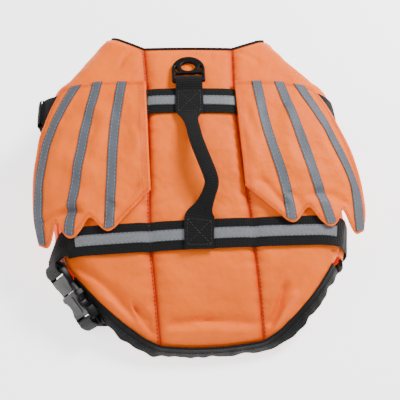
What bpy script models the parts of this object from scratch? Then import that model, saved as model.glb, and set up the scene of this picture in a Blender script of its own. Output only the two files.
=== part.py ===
"""Dog life jacket with a pair of decorative wings, lying on its belly, filled out and hollow.

The garment is a low tube. Every cloth piece is drawn on one surface, skin(s, y):
  y  runs along the back, 0 at the waist belt and growing towards the neck;
  s  is the girth measured round the tube from the middle of the back, right side positive.
A piece is a grid of such points, moved out or in along the tube's normal to give its wall.
Sizes are in millimetres. Points become metres when a mesh is made.
"""
import math

import bmesh
import bpy
from mathutils import Matrix, Vector

MM = 0.001

# ---------------------------------------------------------------- driving sizes
GAP = 0.35             # between two pieces that are sewn together or lie on each other
WALL = 2.4             # doubled outer cloth
WEB_WIDTH = 26.0       # belt webbing
WEB_THICK = 1.2
TAPE_WIDTH = 10.0      # reflective tape along the belts
TAPE_THICK = 0.5
PUFF = 4.0             # foam channel's rise above its seams
PUFF_IN = 4.0          # and below them
PUFF_EDGE = 13.0       # width of the rounded border of a channel
CHEST_Y = 128.0        # middle of the chest belt; the waist belt is at y = 0
BELLY_Z = WEB_THICK + GAP   # outside of the belly flaps, with the belts under them
BELLY_ROUND = 18.0     # radius of the tube's lower corners
SKEW = 0.05            # how far the front half is twisted: its left side sits further forward

# The tube's cross sections. half_width and height are outside, at the seams' level;
# round_x and round_z are the upper corner's radii; crown is the drop from the middle
# to that corner; seam is the girth at which a padded channel ends.
#     y  half_width height round_x round_z crown  seam
BODY = (
    (-92.0,  88.0, 11.0, 34.0, 12.0, 1.5, 45.5),
    (-84.0,  94.0, 19.0, 34.0, 14.0, 1.5, 45.5),
    (-68.0, 106.0, 28.5, 35.0, 20.0, 2.0, 45.5),
    (-40.0, 121.0, 42.5, 36.0, 26.0, 2.5, 45.5),
    (-15.0, 129.5, 52.5, 36.0, 28.0, 3.0, 45.5),
    (  0.0, 134.0, 58.0, 36.0, 29.0, 3.0, 45.5),
    ( 36.0, 136.0, 67.5, 36.0, 32.0, 3.0, 44.0),
    ( 72.0, 137.0, 75.5, 36.0, 34.0, 3.0, 42.5),
    (110.0, 138.0, 80.5, 36.0, 34.0, 3.0, 41.5),
    (133.0, 137.0, 83.0, 36.0, 34.0, 3.0, 41.0),
    (152.0, 132.0, 84.0, 35.0, 33.0, 3.0, 41.5),
    (172.0, 116.0, 84.0, 31.0, 31.0, 3.0, 42.5),
    (192.0, 100.0, 83.0, 27.0, 28.0, 2.5, 43.5),
    (215.0,  86.0, 81.0, 24.0, 25.0, 2.5, 44.5),
)

# Outer edge of a padded side channel, from the hem's corner to the neck's:
# armhole, side seam and slanted hem in turn.
#  part   s      y
SIDE_EDGE = (
    (0.00,  60.0, -79.0),
    (0.08,  76.0, -66.0),
    (0.18,  95.0, -47.0),
    (0.28, 113.0, -26.0),
    (0.36, 127.0,  -9.0),
    (0.42, 132.0,  12.0),
    (0.55, 140.0,  60.0),
    (0.68, 147.0, 106.0),
    (0.79, 149.0, 146.0),
    (0.84, 132.0, 156.0),
    (0.89, 113.0, 172.0),
    (0.95,  95.0, 192.0),
    (1.00,  80.0, 209.0),
)
# The garment leans a little: how far its middle lies to the right.
LEAN = ((-92.0, 5.0), (-40.0, 2.5), (0.0, 0.0), (60.0, -1.5), (128.0, -3.0), (215.0, -3.5))
# The left channel reaches further forward than the right one, by girth.
LEFT_AHEAD = ((80.0, 5.0), (95.0, 13.0), (113.0, 21.0), (132.0, 18.0), (141.0, 9.0), (149.0, 0.0))
HEM_Y = -85.0          # where the channels' seams meet the hem
HEM_BOW = 3.0          # the hem's middle hangs this much lower
NECK_Y = 192.0         # where the channels' seams meet the neck edge
EDGE_STEPS = 24        # steps along that edge
FLAP_STEPS = (8, 19)   # a flap hangs from these steps: behind the waist belt to the armhole
FLAP_LAP = 32.0        # each belly flap runs this far past the middle


# ---------------------------------------------------------------- curves and the tube
def clear_scene():
    for old in list(bpy.data.objects):
        bpy.data.objects.remove(old, do_unlink=True)


def smooth_step(value):
    value = min(1.0, max(0.0, value))
    return value * value * (3.0 - 2.0 * value)


def through(rows, key):
    """Smooth values of a table at `key`, its first column; a row holds the curve's own points."""
    last = len(rows) - 1
    key = min(max(key, rows[0][0]), rows[last][0])
    low = max(i for i in range(last) if rows[i][0] <= key)
    step = rows[low + 1][0] - rows[low][0]
    t = (key - rows[low][0]) / step

    def slope(i, column):
        before, after = max(i - 1, 0), min(i + 1, last)
        return (rows[after][column] - rows[before][column]) / (rows[after][0] - rows[before][0])

    values = []
    for column in range(1, len(rows[0])):
        a, b = rows[low][column], rows[low + 1][column]
        pull_a, pull_b = slope(low, column) * step, slope(low + 1, column) * step
        values.append(a + (b - a) * t * t * (3 - 2 * t)
                      + pull_a * t * (1 - t) ** 2 - pull_b * t * t * (1 - t))
    return values


def seam(y):
    return through(BODY, y)[5]


def section_lengths(y):
    """Girth up to the end of the top, of the upper corner, of the side and of the lower corner."""
    half, height, round_x, round_z, crown, _ = through(BODY, y)
    top = half - round_x
    corner = top + 0.5 * math.pi * math.sqrt((round_x ** 2 + round_z ** 2) / 2)
    side = corner + max(height - crown - round_z - BELLY_Z - BELLY_ROUND, 0.0)
    return top, corner, side, side + 0.5 * math.pi * BELLY_ROUND


def belly_s(x, y):
    """Girth of a point x from the middle of the belly, counted round the right side."""
    half = through(BODY, y)[0]
    return section_lengths(y)[3] + half - BELLY_ROUND - x


def placed(point):
    """A point of the straight tube, twisted and leant as the garment lies."""
    twist = SKEW * smooth_step((point.y - 20.0) / 90.0)
    return Vector((point.x + through(LEAN, point.y)[0], point.y - twist * point.x, point.z))


def skin(s, y, out=0.0):
    """A point of the tube, moved out along its normal."""
    half, height, round_x, round_z, crown, _ = through(BODY, y)
    top, corner, side, foot = section_lengths(y)
    sign = -1.0 if s < 0 else 1.0
    s = abs(s)
    if s <= top:
        x, z = s, height - crown * (s / top) ** 2
        normal = (2 * crown * s / top ** 2, 1.0)
    elif s <= corner:
        turn = 0.5 * math.pi * (s - top) / (corner - top)
        x = top + round_x * math.sin(turn)
        z = height - crown - round_z * (1 - math.cos(turn))
        normal = (math.sin(turn) / round_x, math.cos(turn) / round_z)
    elif s <= side:
        x, z, normal = half, height - crown - round_z - (s - corner), (1.0, 0.0)
    elif s <= foot:
        turn = (s - side) / BELLY_ROUND
        x = half - BELLY_ROUND * (1 - math.cos(turn))
        z = BELLY_Z + BELLY_ROUND * (1 - math.sin(turn))
        normal = (math.cos(turn), -math.sin(turn))
    else:
        x, z, normal = half - BELLY_ROUND - (s - foot), BELLY_Z, (0.0, -1.0)
    length = math.hypot(*normal)
    x += out * normal[0] / length
    z += out * normal[1] / length
    return placed(Vector((sign * x, y, z)))


def side_edge(side, part):
    """Girth and y of a side channel's outer edge."""
    s, y = through(SIDE_EDGE, part)
    ahead = through(LEFT_AHEAD, s)[0] if side < 0 and y > 0 else 0.0
    return s, y + ahead


def neck_edge(s):
    """The neck edge rises in a straight line from the channel's seam to the neck's corner."""
    corner_s, corner_y = side_edge(s, 1.0)
    start = seam(NECK_Y)
    return NECK_Y + max(0.0, abs(s) - start) / (corner_s - start) * (corner_y - NECK_Y)


def hem_edge(s):
    start, corner_s, corner_y = seam(HEM_Y), SIDE_EDGE[0][1], SIDE_EDGE[0][2]
    if abs(s) < start:
        return HEM_Y - HEM_BOW * (1 - (s / start) ** 2)
    return HEM_Y + (abs(s) - start) / (corner_s - start) * (corner_y - HEM_Y)


def edge_s(side, y):
    """Girth of a side channel's outer edge at y, found on the edge's own curve."""
    low, high = 0.0, 1.0
    for _ in range(30):
        middle = 0.5 * (low + high)
        if side_edge(side, middle)[1] < y:
            low = middle
        else:
            high = middle
    return through(SIDE_EDGE, low)[0]


def rounded(distance):
    return 1.0 - (1.0 - min(max(distance, 0.0) / PUFF_EDGE, 1.0)) ** 2.4


def puff(s, y):
    """Share of the foam's full rise, 0 at the seams and edges of a channel."""
    across = rounded(abs(abs(s) - seam(y)))
    if abs(s) > seam(y):
        across *= rounded((edge_s(s, y) - abs(s)) * 0.8)
    return across * rounded(neck_edge(s) - y) * rounded(y - hem_edge(s))


# ---------------------------------------------------------------- mesh makers
def material(name, colour, roughness, metallic=0.0):
    made = bpy.data.materials.new(name)
    made.use_nodes = True
    shader = made.node_tree.nodes["Principled BSDF"]
    shader.inputs["Base Color"].default_value = (*colour, 1.0)
    shader.inputs["Roughness"].default_value = roughness
    shader.inputs["Metallic"].default_value = metallic
    made.diffuse_color = (*colour, 1.0)
    return made


def solid(name, points, faces, look, smooth=True):
    """One closed body from points in millimetres."""
    mesh = bpy.data.meshes.new(name)
    mesh.from_pydata([Vector(p) * MM for p in points], [], faces)
    tidy = bmesh.new()
    tidy.from_mesh(mesh)
    bmesh.ops.recalc_face_normals(tidy, faces=tidy.faces)
    tidy.to_mesh(mesh)
    tidy.free()
    if smooth:
        mesh.shade_smooth()
        mesh.set_sharp_from_angle(angle=math.radians(50))
    thing = bpy.data.objects.new(name, mesh)
    bpy.context.scene.collection.objects.link(thing)
    mesh.materials.append(material(name, *look))
    return thing


def wall(name, outside, inside, look):
    """A closed wall between two grids of points of the same size."""
    rows, columns = len(outside), len(outside[0])
    count = rows * columns
    points = [p for row in outside for p in row] + [p for row in inside for p in row]
    faces = []
    for r in range(rows - 1):
        for c in range(columns - 1):
            a, b = r * columns + c, (r + 1) * columns + c
            faces.append((a, a + 1, b + 1, b))
            faces.append((count + a, count + b, count + b + 1, count + a + 1))
    rim = ([c for c in range(columns)]
           + [r * columns + columns - 1 for r in range(1, rows)]
           + [(rows - 1) * columns + c for c in range(columns - 2, -1, -1)]
           + [r * columns for r in range(rows - 2, 0, -1)])
    for a, b in zip(rim, rim[1:] + rim[:1]):
        faces.append((a, count + a, count + b, b))
    return solid(name, points, faces, look)


def ribbon(name, stations, look):
    """Webbing through stations of (middle, across, outward, width, thickness)."""
    corners = ((-0.5, -0.5), (0.5, -0.5), (0.5, 0.5), (-0.5, 0.5))
    points = []
    for middle, across, outward, width, thick in stations:
        points += [middle + across * (a * width) + outward * (b * thick) for a, b in corners]
    faces = [(0, 1, 2, 3), tuple(len(points) - 4 + i for i in (3, 2, 1, 0))]
    for i in range(len(stations) - 1):
        for k in range(4):
            a, b = 4 * i + k, 4 * i + (k + 1) % 4
            faces.append((a, b, b + 4, a + 4))
    return solid(name, points, faces, look)


def spread(start, end, count):
    return [start + (end - start) * i / count for i in range(count + 1)]


ORANGE = ((0.90, 0.22, 0.05), 0.55)
BLACK = ((0.012, 0.012, 0.014), 0.75)
SILVER = ((0.25, 0.26, 0.29), 0.45)
MOULDED = ((0.010, 0.010, 0.011), 0.35)


# ---------------------------------------------------------------- padded back
def bordered(length, count):
    """Shares of the way across a channel, closer together over its rounded borders."""
    near = PUFF_EDGE / length
    inner = spread(near, 1.0 - near, count)
    return [0.0, 0.3 * near] + inner + [1.0 - 0.3 * near, 1.0]


def build_back_centre():
    outside, inside = [], []
    for part in bordered(NECK_Y - HEM_Y, 18):
        outer_row, inner_row = [], []
        for column in bordered(2 * seam(CHEST_Y), 3):
            share = 2 * column - 1
            hem = HEM_Y - HEM_BOW * (1 - share ** 2)
            y = hem + part * (NECK_Y - hem)
            s = share * (seam(y) - 0.5 * GAP)
            rise = puff(s, y)
            outer_row.append(skin(s, y, PUFF * rise))
            inner_row.append(skin(s, y, -WALL - PUFF_IN * rise))
        outside.append(outer_row)
        inside.append(inner_row)
    return wall("back_centre", outside, inside, ORANGE)


def build_back_side(name, side):
    outside, inside = [], []
    for part in spread(0.0, 1.0, EDGE_STEPS):
        edge, edge_y = side_edge(side, part)
        seam_y = HEM_Y + (NECK_Y - HEM_Y) * part
        start = seam(seam_y) + 0.5 * GAP
        outer_row, inner_row = [], []
        for column in bordered(90.0, 4):
            s = start + (edge - start) * column
            y = seam_y + (edge_y - seam_y) * column
            rise = puff(side * s, y)
            outer_row.append(skin(side * s, y, PUFF * rise))
            inner_row.append(skin(side * s, y, -WALL - PUFF_IN * rise))
        outside.append(outer_row)
        inside.append(inner_row)
    return wall(name, outside, inside, ORANGE)


# ---------------------------------------------------------------- belly flaps and throat tabs
LAP_STEP = 12.0        # over this length an inner lap rises clear of the outer one
LAP_CLEAR = 9.0        # and it is clear this far before the outer one's end


def lap_girths(start, lap, y):
    """Girths down from start, round the lower corner and past the belly's middle by lap."""
    _, corner, side, foot = section_lengths(y)
    down = spread(start, max(corner, start + 6.0), 3)
    step_start = belly_s(lap + LAP_STEP + LAP_CLEAR, y)
    return (down + spread(max(side, down[-1] + 4.0), foot, 4)
            + [step_start, step_start + LAP_STEP, belly_s(-lap, y)])


def lap_rise(side, s, lap, y):
    """The left piece lies inside the right one where they lap."""
    step_start = belly_s(lap + LAP_STEP + LAP_CLEAR, y)
    return (WALL + GAP) * smooth_step((s - step_start) / LAP_STEP) if side < 0 else 0.0


def build_flap(name, side):
    outside, inside = [], []
    for step in range(FLAP_STEPS[0], FLAP_STEPS[1] + 1):
        edge, level = through(SIDE_EDGE, step / EDGE_STEPS)
        outer_row, inner_row = [], []
        for s in lap_girths(edge + GAP, FLAP_LAP, level):
            rise = lap_rise(side, s, FLAP_LAP, level)
            outer_row.append(skin(side * s, level, -rise))
            inner_row.append(skin(side * s, level, -rise - WALL))
        outside.append(outer_row)
        inside.append(inner_row)
    return wall(name, outside, inside, ORANGE)


# Throat tab: its rear and front edges, by girth.
#   s      rear   front
TAB = (
    ( 80.0, 207.0, 210.0),
    ( 97.0, 190.0, 210.0),
    (120.0, 181.0, 207.0),
    (150.0, 175.0, 202.0),
    (190.0, 171.0, 198.0),
    (330.0, 169.0, 196.0),
)
TAB_LAP = 22.0
TAB_START = (98.0, 81.0)   # girth at which its rear and its front edge start, under the channel


def build_throat_tab(name, side):
    outside, inside = [], []
    for across in spread(0.0, 1.0, 3):
        level = TAB[-1][1] + (TAB[-1][2] - TAB[-1][1]) * across
        start = TAB_START[0] + (TAB_START[1] - TAB_START[0]) * across
        outer_row, inner_row = [], []
        for s in lap_girths(start, TAB_LAP, level):
            rear, front = through(TAB, s)
            ahead = through(LEFT_AHEAD, s)[0] if side < 0 else 0.0
            ahead *= 1 - 0.5 * across * smooth_step((s - 85.0) / 20.0)
            y = rear + (front - rear) * across + ahead
            rise = lap_rise(side, s, TAB_LAP, level)
            outer_row.append(skin(side * s, y, -rise))
            inner_row.append(skin(side * s, y, -rise - WALL))
        outside.append(outer_row)
        inside.append(inner_row)
    return wall(name, outside, inside, ORANGE)


# ---------------------------------------------------------------- wings
CHEST_STACK = PUFF + GAP + WEB_THICK + 0.9  # a wing lies over the chest belt
WAIST_STACK = CHEST_STACK + 1.1             # and over the waist belt and its tape
WING_WALL = 1.8
WING_ROOT = 42.5       # the wings are sewn in beside the channels' seams
WING_TOP_Y = 147.0
WING_REACH = 80.0      # the overhang's curve: its reach and its depth
WING_DROP = 72.0
# Edges of a wing, each from a shared corner to the next.
WING_TOP = ((0.0, WING_ROOT, 147.0), (0.5, 84.0, 148.0), (1.0, 121.0, 143.0))
WING_OUTER = (
    (0.00, 121.0, 143.0),
    (0.15, 135.0, 121.0),
    (0.32, 146.5, 94.0),
    (0.55, 153.0, 58.0),
    (0.80, 152.5, 24.0),
    (1.00, 146.5, 3.0),
)
WING_ROOT_END = 40.0
# The scalloped lower edge: straight runs and round tips.
WING_LOWER = (
    (0.00,  42.5, 40.0),
    (0.25,  71.0, 13.0),
    (0.31,  76.0,  8.5),
    (0.36,  81.5,  6.5),
    (0.41,  86.5,  9.0),
    (0.50,  97.0, 19.0),
    (0.57, 105.5,  8.5),
    (0.63, 111.5,  3.5),
    (0.68, 117.0,  3.5),
    (0.74, 122.0,  8.0),
    (0.81, 128.5, 18.0),
    (0.89, 134.5,  3.5),
    (0.94, 138.5, -1.0),
    (1.00, 146.5,  3.0),
)
# Middle lines of the reflective stripes, from the wing's top to its tips.
#      y    inner  middle  outer
STRIPES = (
    (  6.0,  80.5, 115.5, 142.0),
    ( 40.0,  81.0, 114.0, 145.5),
    ( 95.0,  75.0, 104.0, 133.0),
    (146.0,  64.0,  87.0, 108.0),
)
STRIPE_WIDTH = 9.0
STRIPE_THICK = 0.6


def straight(rows, key):
    """Values of a table at key, in straight runs between its rows."""
    for low, high in zip(rows, rows[1:]):
        if key <= high[0]:
            t = (key - low[0]) / (high[0] - low[0])
            return [a + (b - a) * t for a, b in zip(low[1:], high[1:])]
    return list(rows[-1][1:])


def wing_height(x, y):
    """Height of a wing's underside over the tube; past the tube's side it hangs free."""
    half, height, round_x, _, crown, _ = through(BODY, y)
    top = half - round_x - 4.0
    near = min(x, top)
    z = height - crown * (near / (top + 4.0)) ** 2
    z += WAIST_STACK + (CHEST_STACK - WAIST_STACK) * smooth_step((y - 15.0) / 30.0)
    if x > top:
        z -= WING_DROP * (1 - math.sqrt(1 - ((x - top) / WING_REACH) ** 2))
    return z


def wing_point(side, x, y, out=0.0):
    """A point at out over a wing's underside, along the wing's normal."""
    step = 0.5
    slope_x = (wing_height(x + step, y) - wing_height(x - step, y)) / (2 * step)
    slope_y = (wing_height(x, y + step) - wing_height(x, y - step)) / (2 * step)
    normal = Vector((-slope_x, -slope_y, 1.0)).normalized()
    point = Vector((x, y, wing_height(x, y))) + normal * out
    return placed(Vector((side * point.x, point.y, point.z)))


def wing_plan(u, v):
    """Place on a wing's plan: u from its root to its outer edge, v from its top to its tips."""
    top, low = through(WING_TOP, u), straight(WING_LOWER, u)
    root = [WING_ROOT, WING_TOP_Y + (WING_ROOT_END - WING_TOP_Y) * v]
    outer = through(WING_OUTER, v)
    place = []
    for k in range(2):
        corners = ((1 - u) * (1 - v) * WING_TOP[0][k + 1] + u * (1 - v) * WING_TOP[-1][k + 1]
                   + (1 - u) * v * WING_LOWER[0][k + 1] + u * v * WING_LOWER[-1][k + 1])
        place.append((1 - v) * top[k] + v * low[k] + (1 - u) * root[k] + u * outer[k] - corners)
    return place


def build_wing(name, side):
    columns = [row[0] for row in WING_LOWER]
    columns = sorted(columns + [0.08, 0.16])
    outside, inside = [], []
    for v in spread(0.0, 1.0, 11):
        places = [wing_plan(u, v) for u in columns]
        outside.append([wing_point(side, x, y, WING_WALL) for x, y in places])
        inside.append([wing_point(side, x, y) for x, y in places])
    return wall(name, outside, inside, ORANGE)


def build_stripe(name, side, column):
    outside, inside = [], []
    ends = STRIPES[0][0], STRIPES[-1][0]
    base = WING_WALL + GAP
    for y in spread(ends[0], ends[1] - 2.0, 12):
        middle = through(STRIPES, y)[column]
        ahead = through(STRIPES, min(y + 1.0, ends[1]))[column] - through(STRIPES, y - 1.0)[column]
        slant = ahead / 2.0
        outer_row, inner_row = [], []
        for share in (-0.5, 0.0, 0.5):
            x = middle + share * STRIPE_WIDTH
            place_y = y - slant * share * STRIPE_WIDTH
            outer_row.append(wing_point(side, x, place_y, base + STRIPE_THICK))
            inner_row.append(wing_point(side, x, place_y, base))
        outside.append(outer_row)
        inside.append(inner_row)
    return wall(name, outside, inside, SILVER)


# ---------------------------------------------------------------- belts
BELT_DIP = 1.5         # a belt is stitched down a little at the channels' seams
WAIST_TOP = Vector((-131.3, -18.6, 38.5))     # the waist buckle's two ends, low on the left
WAIST_LOW = Vector((-102.3, -59.1, 18.5))
WAIST_FACE = Vector((-0.58, -0.76, 0.28))     # and the way its face looks
CHEST_TOP = Vector((-147.5, CHEST_Y + 7.0, 62.0))
CHEST_LOW = Vector((-147.5, CHEST_Y + 7.0, 9.0))
CHEST_FACE = Vector((-1.0, 0.0, 0.0))
# The waist belt's run across the floor, from the right side to its buckle.
WAIST_RUN = ((104.0, 0.0), (80.0, 0.0), (50.0, -1.0), (20.0, -4.0), (-5.0, -9.0),
             (-30.0, -18.0), (-52.0, -30.0), (-66.0, -40.0))


def belt_rise(s, y):
    """How far a belt's inner face lies out of the tube."""
    over = PUFF * rounded(0.8 * (edge_s(s, y) - abs(s) + 4.0))
    dip = BELT_DIP * math.exp(-((abs(s) - seam(y)) / 5.0) ** 2)
    return GAP + over - dip


def belt_station(s, y, out, width, thick):
    middle = skin(s, y, out + 0.5 * thick)
    along = (skin(s + 0.5, y, out) - skin(s - 0.5, y, out)).normalized()
    across = skin(s, y - 4.0, out) - skin(s, y + 4.0, out)
    across = (across - along * across.dot(along)).normalized()
    return middle, across, across.cross(along), width, thick


def belt_girths(start, end, y):
    """Girths over the back, with one on each seam's dip, and close together round the corners."""
    top, corner, side, foot = section_lengths(y)
    line = seam(y)
    dips = [line - 6.0, line, line + 6.0]
    flat = spread(line + 14.0, top - 4.0, 3)
    right = [0.0, 0.5 * line] + dips + flat + spread(top + 3.0, corner, 6)
    right += [corner + 3.0, side] + spread(side + 4.0, foot, 5)
    left = [-s for s in reversed(right) if s > 0]
    return [s for s in left + right if start <= s <= end]


def face_frame(first, last, face):
    """Along, across and outward for something that runs from first to last and looks at face."""
    along = (last - first).normalized()
    outward = (face - along * face.dot(along)).normalized()
    return along, along.cross(outward), outward


def free_station(point, along, outward, width=WEB_WIDTH, thick=WEB_THICK):
    along = along.normalized()
    outward = (outward - along * outward.dot(along)).normalized()
    return point, along.cross(outward), outward, width, thick


def floor_station(x, y, along):
    return free_station(Vector((x, y, 0.5 * WEB_THICK)), along, Vector((0.0, 0.0, -1.0)))


TURN_STEPS = 7
UPPER_PULL = 19.0      # how far the strap runs on before it bends, above the buckle
LOWER_PULL = 30.0      # and below it
CRUMPLE = 0.60         # share of its width that it loses in the turn


def turning(start, end, pull):
    """Stations of webbing that turns between two stations and crumples a little on its way."""
    (first, first_across, first_out), (last, last_across, last_out) = start[:3], end[:3]
    first_way = first_out.cross(first_across).normalized() * pull
    last_way = last_out.cross(last_across).normalized() * pull
    stations = []
    for i in range(1, TURN_STEPS):
        t = i / TURN_STEPS
        place = (first * (1 + 2 * t) * (1 - t) ** 2 + last * t * t * (3 - 2 * t)
                 + first_way * t * (1 - t) ** 2 - last_way * t * t * (1 - t))
        way = ((last - first) * 6 * t * (1 - t) + first_way * (1 - t) * (1 - 3 * t)
               + last_way * t * (3 * t - 2)).normalized()
        across = first_across.lerp(last_across, t)
        across = (across - way * across.dot(way)).normalized()
        narrow = math.sin(math.pi * t)
        stations.append((place, across, across.cross(way), WEB_WIDTH * (1 - CRUMPLE * narrow),
                         WEB_THICK * (1 + 2.0 * narrow)))
    return stations


def build_waist_belt():
    back, _, face = face_frame(WAIST_LOW, WAIST_TOP, WAIST_FACE)
    at_plug = free_station(WAIST_TOP + back * 2.5, back, face)
    over = [belt_station(s, 0.0, belt_rise(s, 0.0), WEB_WIDTH, WEB_THICK)
            for s in belt_girths(-119.0, 186.0, 0.0)]
    stations = [free_station(WAIST_TOP + back * GAP, back, face), at_plug]
    stations += turning(at_plug, over[0], UPPER_PULL) + over
    for i, (x, y) in enumerate(WAIST_RUN):
        ahead = WAIST_RUN[min(i + 1, len(WAIST_RUN) - 1)]
        behind = WAIST_RUN[max(i - 1, 0)]
        stations.append(floor_station(x, y, Vector((ahead[0] - behind[0], ahead[1] - behind[1], 0.0))))
    at_socket = free_station(WAIST_LOW - back * 2.5, back, face)
    stations += turning(stations[-1], at_socket, LOWER_PULL)
    stations += [at_socket, free_station(WAIST_LOW - back * GAP, back, face)]
    return ribbon("waist_belt", stations, BLACK)


def build_chest_belt():
    up = Vector((0.0, 0.0, 1.0))
    stations = [free_station(CHEST_TOP + up * GAP, up, CHEST_FACE),
                free_station(CHEST_TOP + Vector((2.5, 0.0, 6.5)), Vector((0.5, 0.0, 1.0)), CHEST_FACE)]
    for s in belt_girths(-124.0, 215.0, CHEST_Y):
        stations.append(belt_station(s, CHEST_Y, belt_rise(s, CHEST_Y), WEB_WIDTH, WEB_THICK))
    run = (97.0, 60.0, 20.0, -20.0, -60.0, -100.0, -126.0)
    for x in run:
        stations.append(floor_station(x, CHEST_Y - SKEW * x, Vector((-1.0, SKEW, 0.0))))
    stations.append(free_station(Vector((-137.5, CHEST_Y + 7.0, 1.6)), Vector((-1.0, 0.0, 0.25)),
                                 Vector((-0.2, 0.0, -1.0))))
    stations.append(free_station(Vector((-145.0, CHEST_Y + 7.0, 4.6)), Vector((-0.6, 0.0, 0.8)),
                                 Vector((-0.8, 0.0, -0.6))))
    stations.append(free_station(CHEST_LOW - up * GAP, up, CHEST_FACE))
    return ribbon("chest_belt", stations, BLACK)


def build_tape(name, y, ends):
    """Reflective tape along the middle of a belt."""
    stations = []
    for s in belt_girths(ends[0], ends[1], y):
        out = belt_rise(s, y) + WEB_THICK + GAP
        stations.append(belt_station(s, y, out, TAPE_WIDTH, TAPE_THICK))
    return ribbon(name, stations, SILVER)


# ---------------------------------------------------------------- handle and D-ring
RING_X = -4.4          # the D-ring's bar, held in the handle's upper loop
RING_Y = 146.5
BAR = 1.8              # half the bar's side
LOOP = 3.0             # inside radius of the webbing loop round it
LOOP_WIDTH = 24.4
RING_WIDTH = 31.6
RING_THICK = 3.6
RING_TOP = 30.0        # from the bar to the top of the ring's arch
RING_TILT = math.radians(-5.0)   # at rest its tip lies down on the back
# The handle from its upper patch, bowed to the right and raised for the fingers, to its
# lower patch: place, rise over the channel, width and thickness.
#      y      x     rise  width thick
HANDLE = (
    (142.5, -4.4,  6.9, 24.6, 1.4),
    (139.0, -4.4,  5.0, 25.2, 1.4),
    (135.5, -4.5,  3.6, 25.6, 1.4),
    (125.0, -4.9,  3.5, 26.0, 1.4),
    (113.5, -5.2,  3.6, 25.0, 1.4),
    (108.0, -5.0,  5.0, 17.0, 2.2),
    (101.0, -4.2,  7.6, 13.0, 2.8),
    ( 92.0, -2.8, 10.2, 12.5, 2.8),
    ( 80.0, -0.9, 13.0, 12.5, 2.8),
    ( 68.0,  2.3, 14.6, 12.5, 2.8),
    ( 56.0,  6.2, 15.0, 12.5, 2.8),
    ( 46.0,  9.6, 14.2, 12.5, 2.8),
    ( 38.5, 10.8, 12.6, 12.5, 2.8),
    ( 29.0,  7.0,  9.2, 13.0, 2.8),
    ( 21.0,  2.6,  6.2, 17.0, 2.2),
    ( 14.5, -0.8,  4.2, 26.0, 1.4),
    (  0.0, -2.2,  4.1, 26.0, 1.4),
    (-13.5, -2.6,  4.2, 26.0, 1.4),
)


def channel_top(y):
    return skin(0.0, y, PUFF).z


def ring_axis():
    return Vector((RING_X, RING_Y, channel_top(RING_Y) + GAP + WEB_THICK + LOOP))


def build_handle():
    axis = ring_axis()
    middle_radius = LOOP + 0.5 * WEB_THICK
    path = [(Vector((RING_X, RING_Y - reach, axis.z - middle_radius)), LOOP_WIDTH, WEB_THICK)
            for reach in (4.2, 2.0)]
    for turn in range(-90, 91, 30):
        bend = math.radians(turn)
        point = axis + Vector((0.0, middle_radius * math.cos(bend), middle_radius * math.sin(bend)))
        path.append((point, LOOP_WIDTH, WEB_THICK))
    for y, x, rise, width, thick in HANDLE:
        path.append((Vector((x, y, channel_top(y) + rise)), width, thick))
    stations = []
    for i, (point, width, thick) in enumerate(path):
        along = (path[min(i + 1, len(path) - 1)][0] - path[max(i - 1, 0)][0]).normalized()
        level = Vector((along.y, -along.x, 0.0))
        across = Vector((-1.0, 0.0, 0.0)) if abs(along.x) < 1e-6 else level.normalized()
        if across.x > 0:
            across.negate()
        stations.append((point, across, across.cross(along), width, thick))
    return ribbon("handle_strap", stations, BLACK)


def cutter(shape, target):
    shape.hide_render = True
    shape.display_type = "WIRE"
    cut = target.modifiers.new(shape.name, "BOOLEAN")
    cut.operation = "DIFFERENCE"
    cut.object = shape


def block(name, size, look, at=(0.0, 0.0, 0.0)):
    """A plain block about a point, in millimetres."""
    corners = [(x * size[0] / 2 + at[0], y * size[1] / 2 + at[1], z * size[2] / 2 + at[2])
               for x in (-1, 1) for y in (-1, 1) for z in (-1, 1)]
    faces = ((0, 1, 3, 2), (4, 6, 7, 5), (0, 4, 5, 1), (2, 3, 7, 6), (0, 2, 6, 4), (1, 5, 7, 3))
    return solid(name, corners, faces, look, smooth=False)


def plate(name, outline, thick, look):
    """An outline in the XY plane, given a thickness."""
    count = len(outline)
    points = [(x, y, z) for z in (-thick / 2, thick / 2) for x, y in outline]
    faces = [tuple(range(count)), tuple(range(count, 2 * count))]
    faces += [(i, (i + 1) % count, count + (i + 1) % count, count + i) for i in range(count)]
    return solid(name, points, faces, look, smooth=False)


def arc(centre, radii, start, end, steps):
    return [(centre[0] + radii[0] * math.cos(math.radians(angle)),
             centre[1] + radii[1] * math.sin(math.radians(angle)))
            for angle in spread(start, end, steps)]


def build_ring():
    """D-ring: a bar, two legs and an arch with an oval eye and a small eye at each side."""
    half = RING_WIDTH / 2
    arch_y = RING_TOP - 16.0
    outline = arc((0.0, arch_y), (half, 16.0), 0.0, 180.0, 18)
    outline += arc((-half + 2.0, -BAR + 2.0), (2.0, 2.0), 180.0, 270.0, 3)
    outline += arc((half - 2.0, -BAR + 2.0), (2.0, 2.0), 270.0, 360.0, 3)
    ring = plate("d_ring", outline, RING_THICK, MOULDED)
    slot_width, slot_end = LOOP_WIDTH + 1.0, 8.4
    slot = [(-slot_width / 2, BAR), (slot_width / 2, BAR),
            (slot_width / 2, slot_end), (-slot_width / 2, slot_end)]
    holes = [plate("ring_slot", slot, 10.0, MOULDED),
             plate("ring_eye", arc((0.0, 17.4), (6.9, 6.0), 0.0, 345.0, 23), 10.0, MOULDED)]
    for side in (-1, 1):
        eye = [(side * 9.2, 11.2), (side * 13.0, 11.2), (side * 12.6, 17.5), (side * 11.2, 18.0)]
        holes.append(plate("ring_side_eye_%d" % (side + 1), eye, 10.0, MOULDED))
    for hole in holes:
        cutter(hole, ring)
        hole.parent = ring
    ring.location = ring_axis() * MM
    ring.rotation_euler = (RING_TILT, 0.0, 0.0)
    return ring


# ---------------------------------------------------------------- bindings
NECK_TAPE = 3.4
ARMHOLE_TAPE = 2.2
FLAP_TAPE = 8.0
HEM_TAPE_THICK = 2.4
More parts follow.
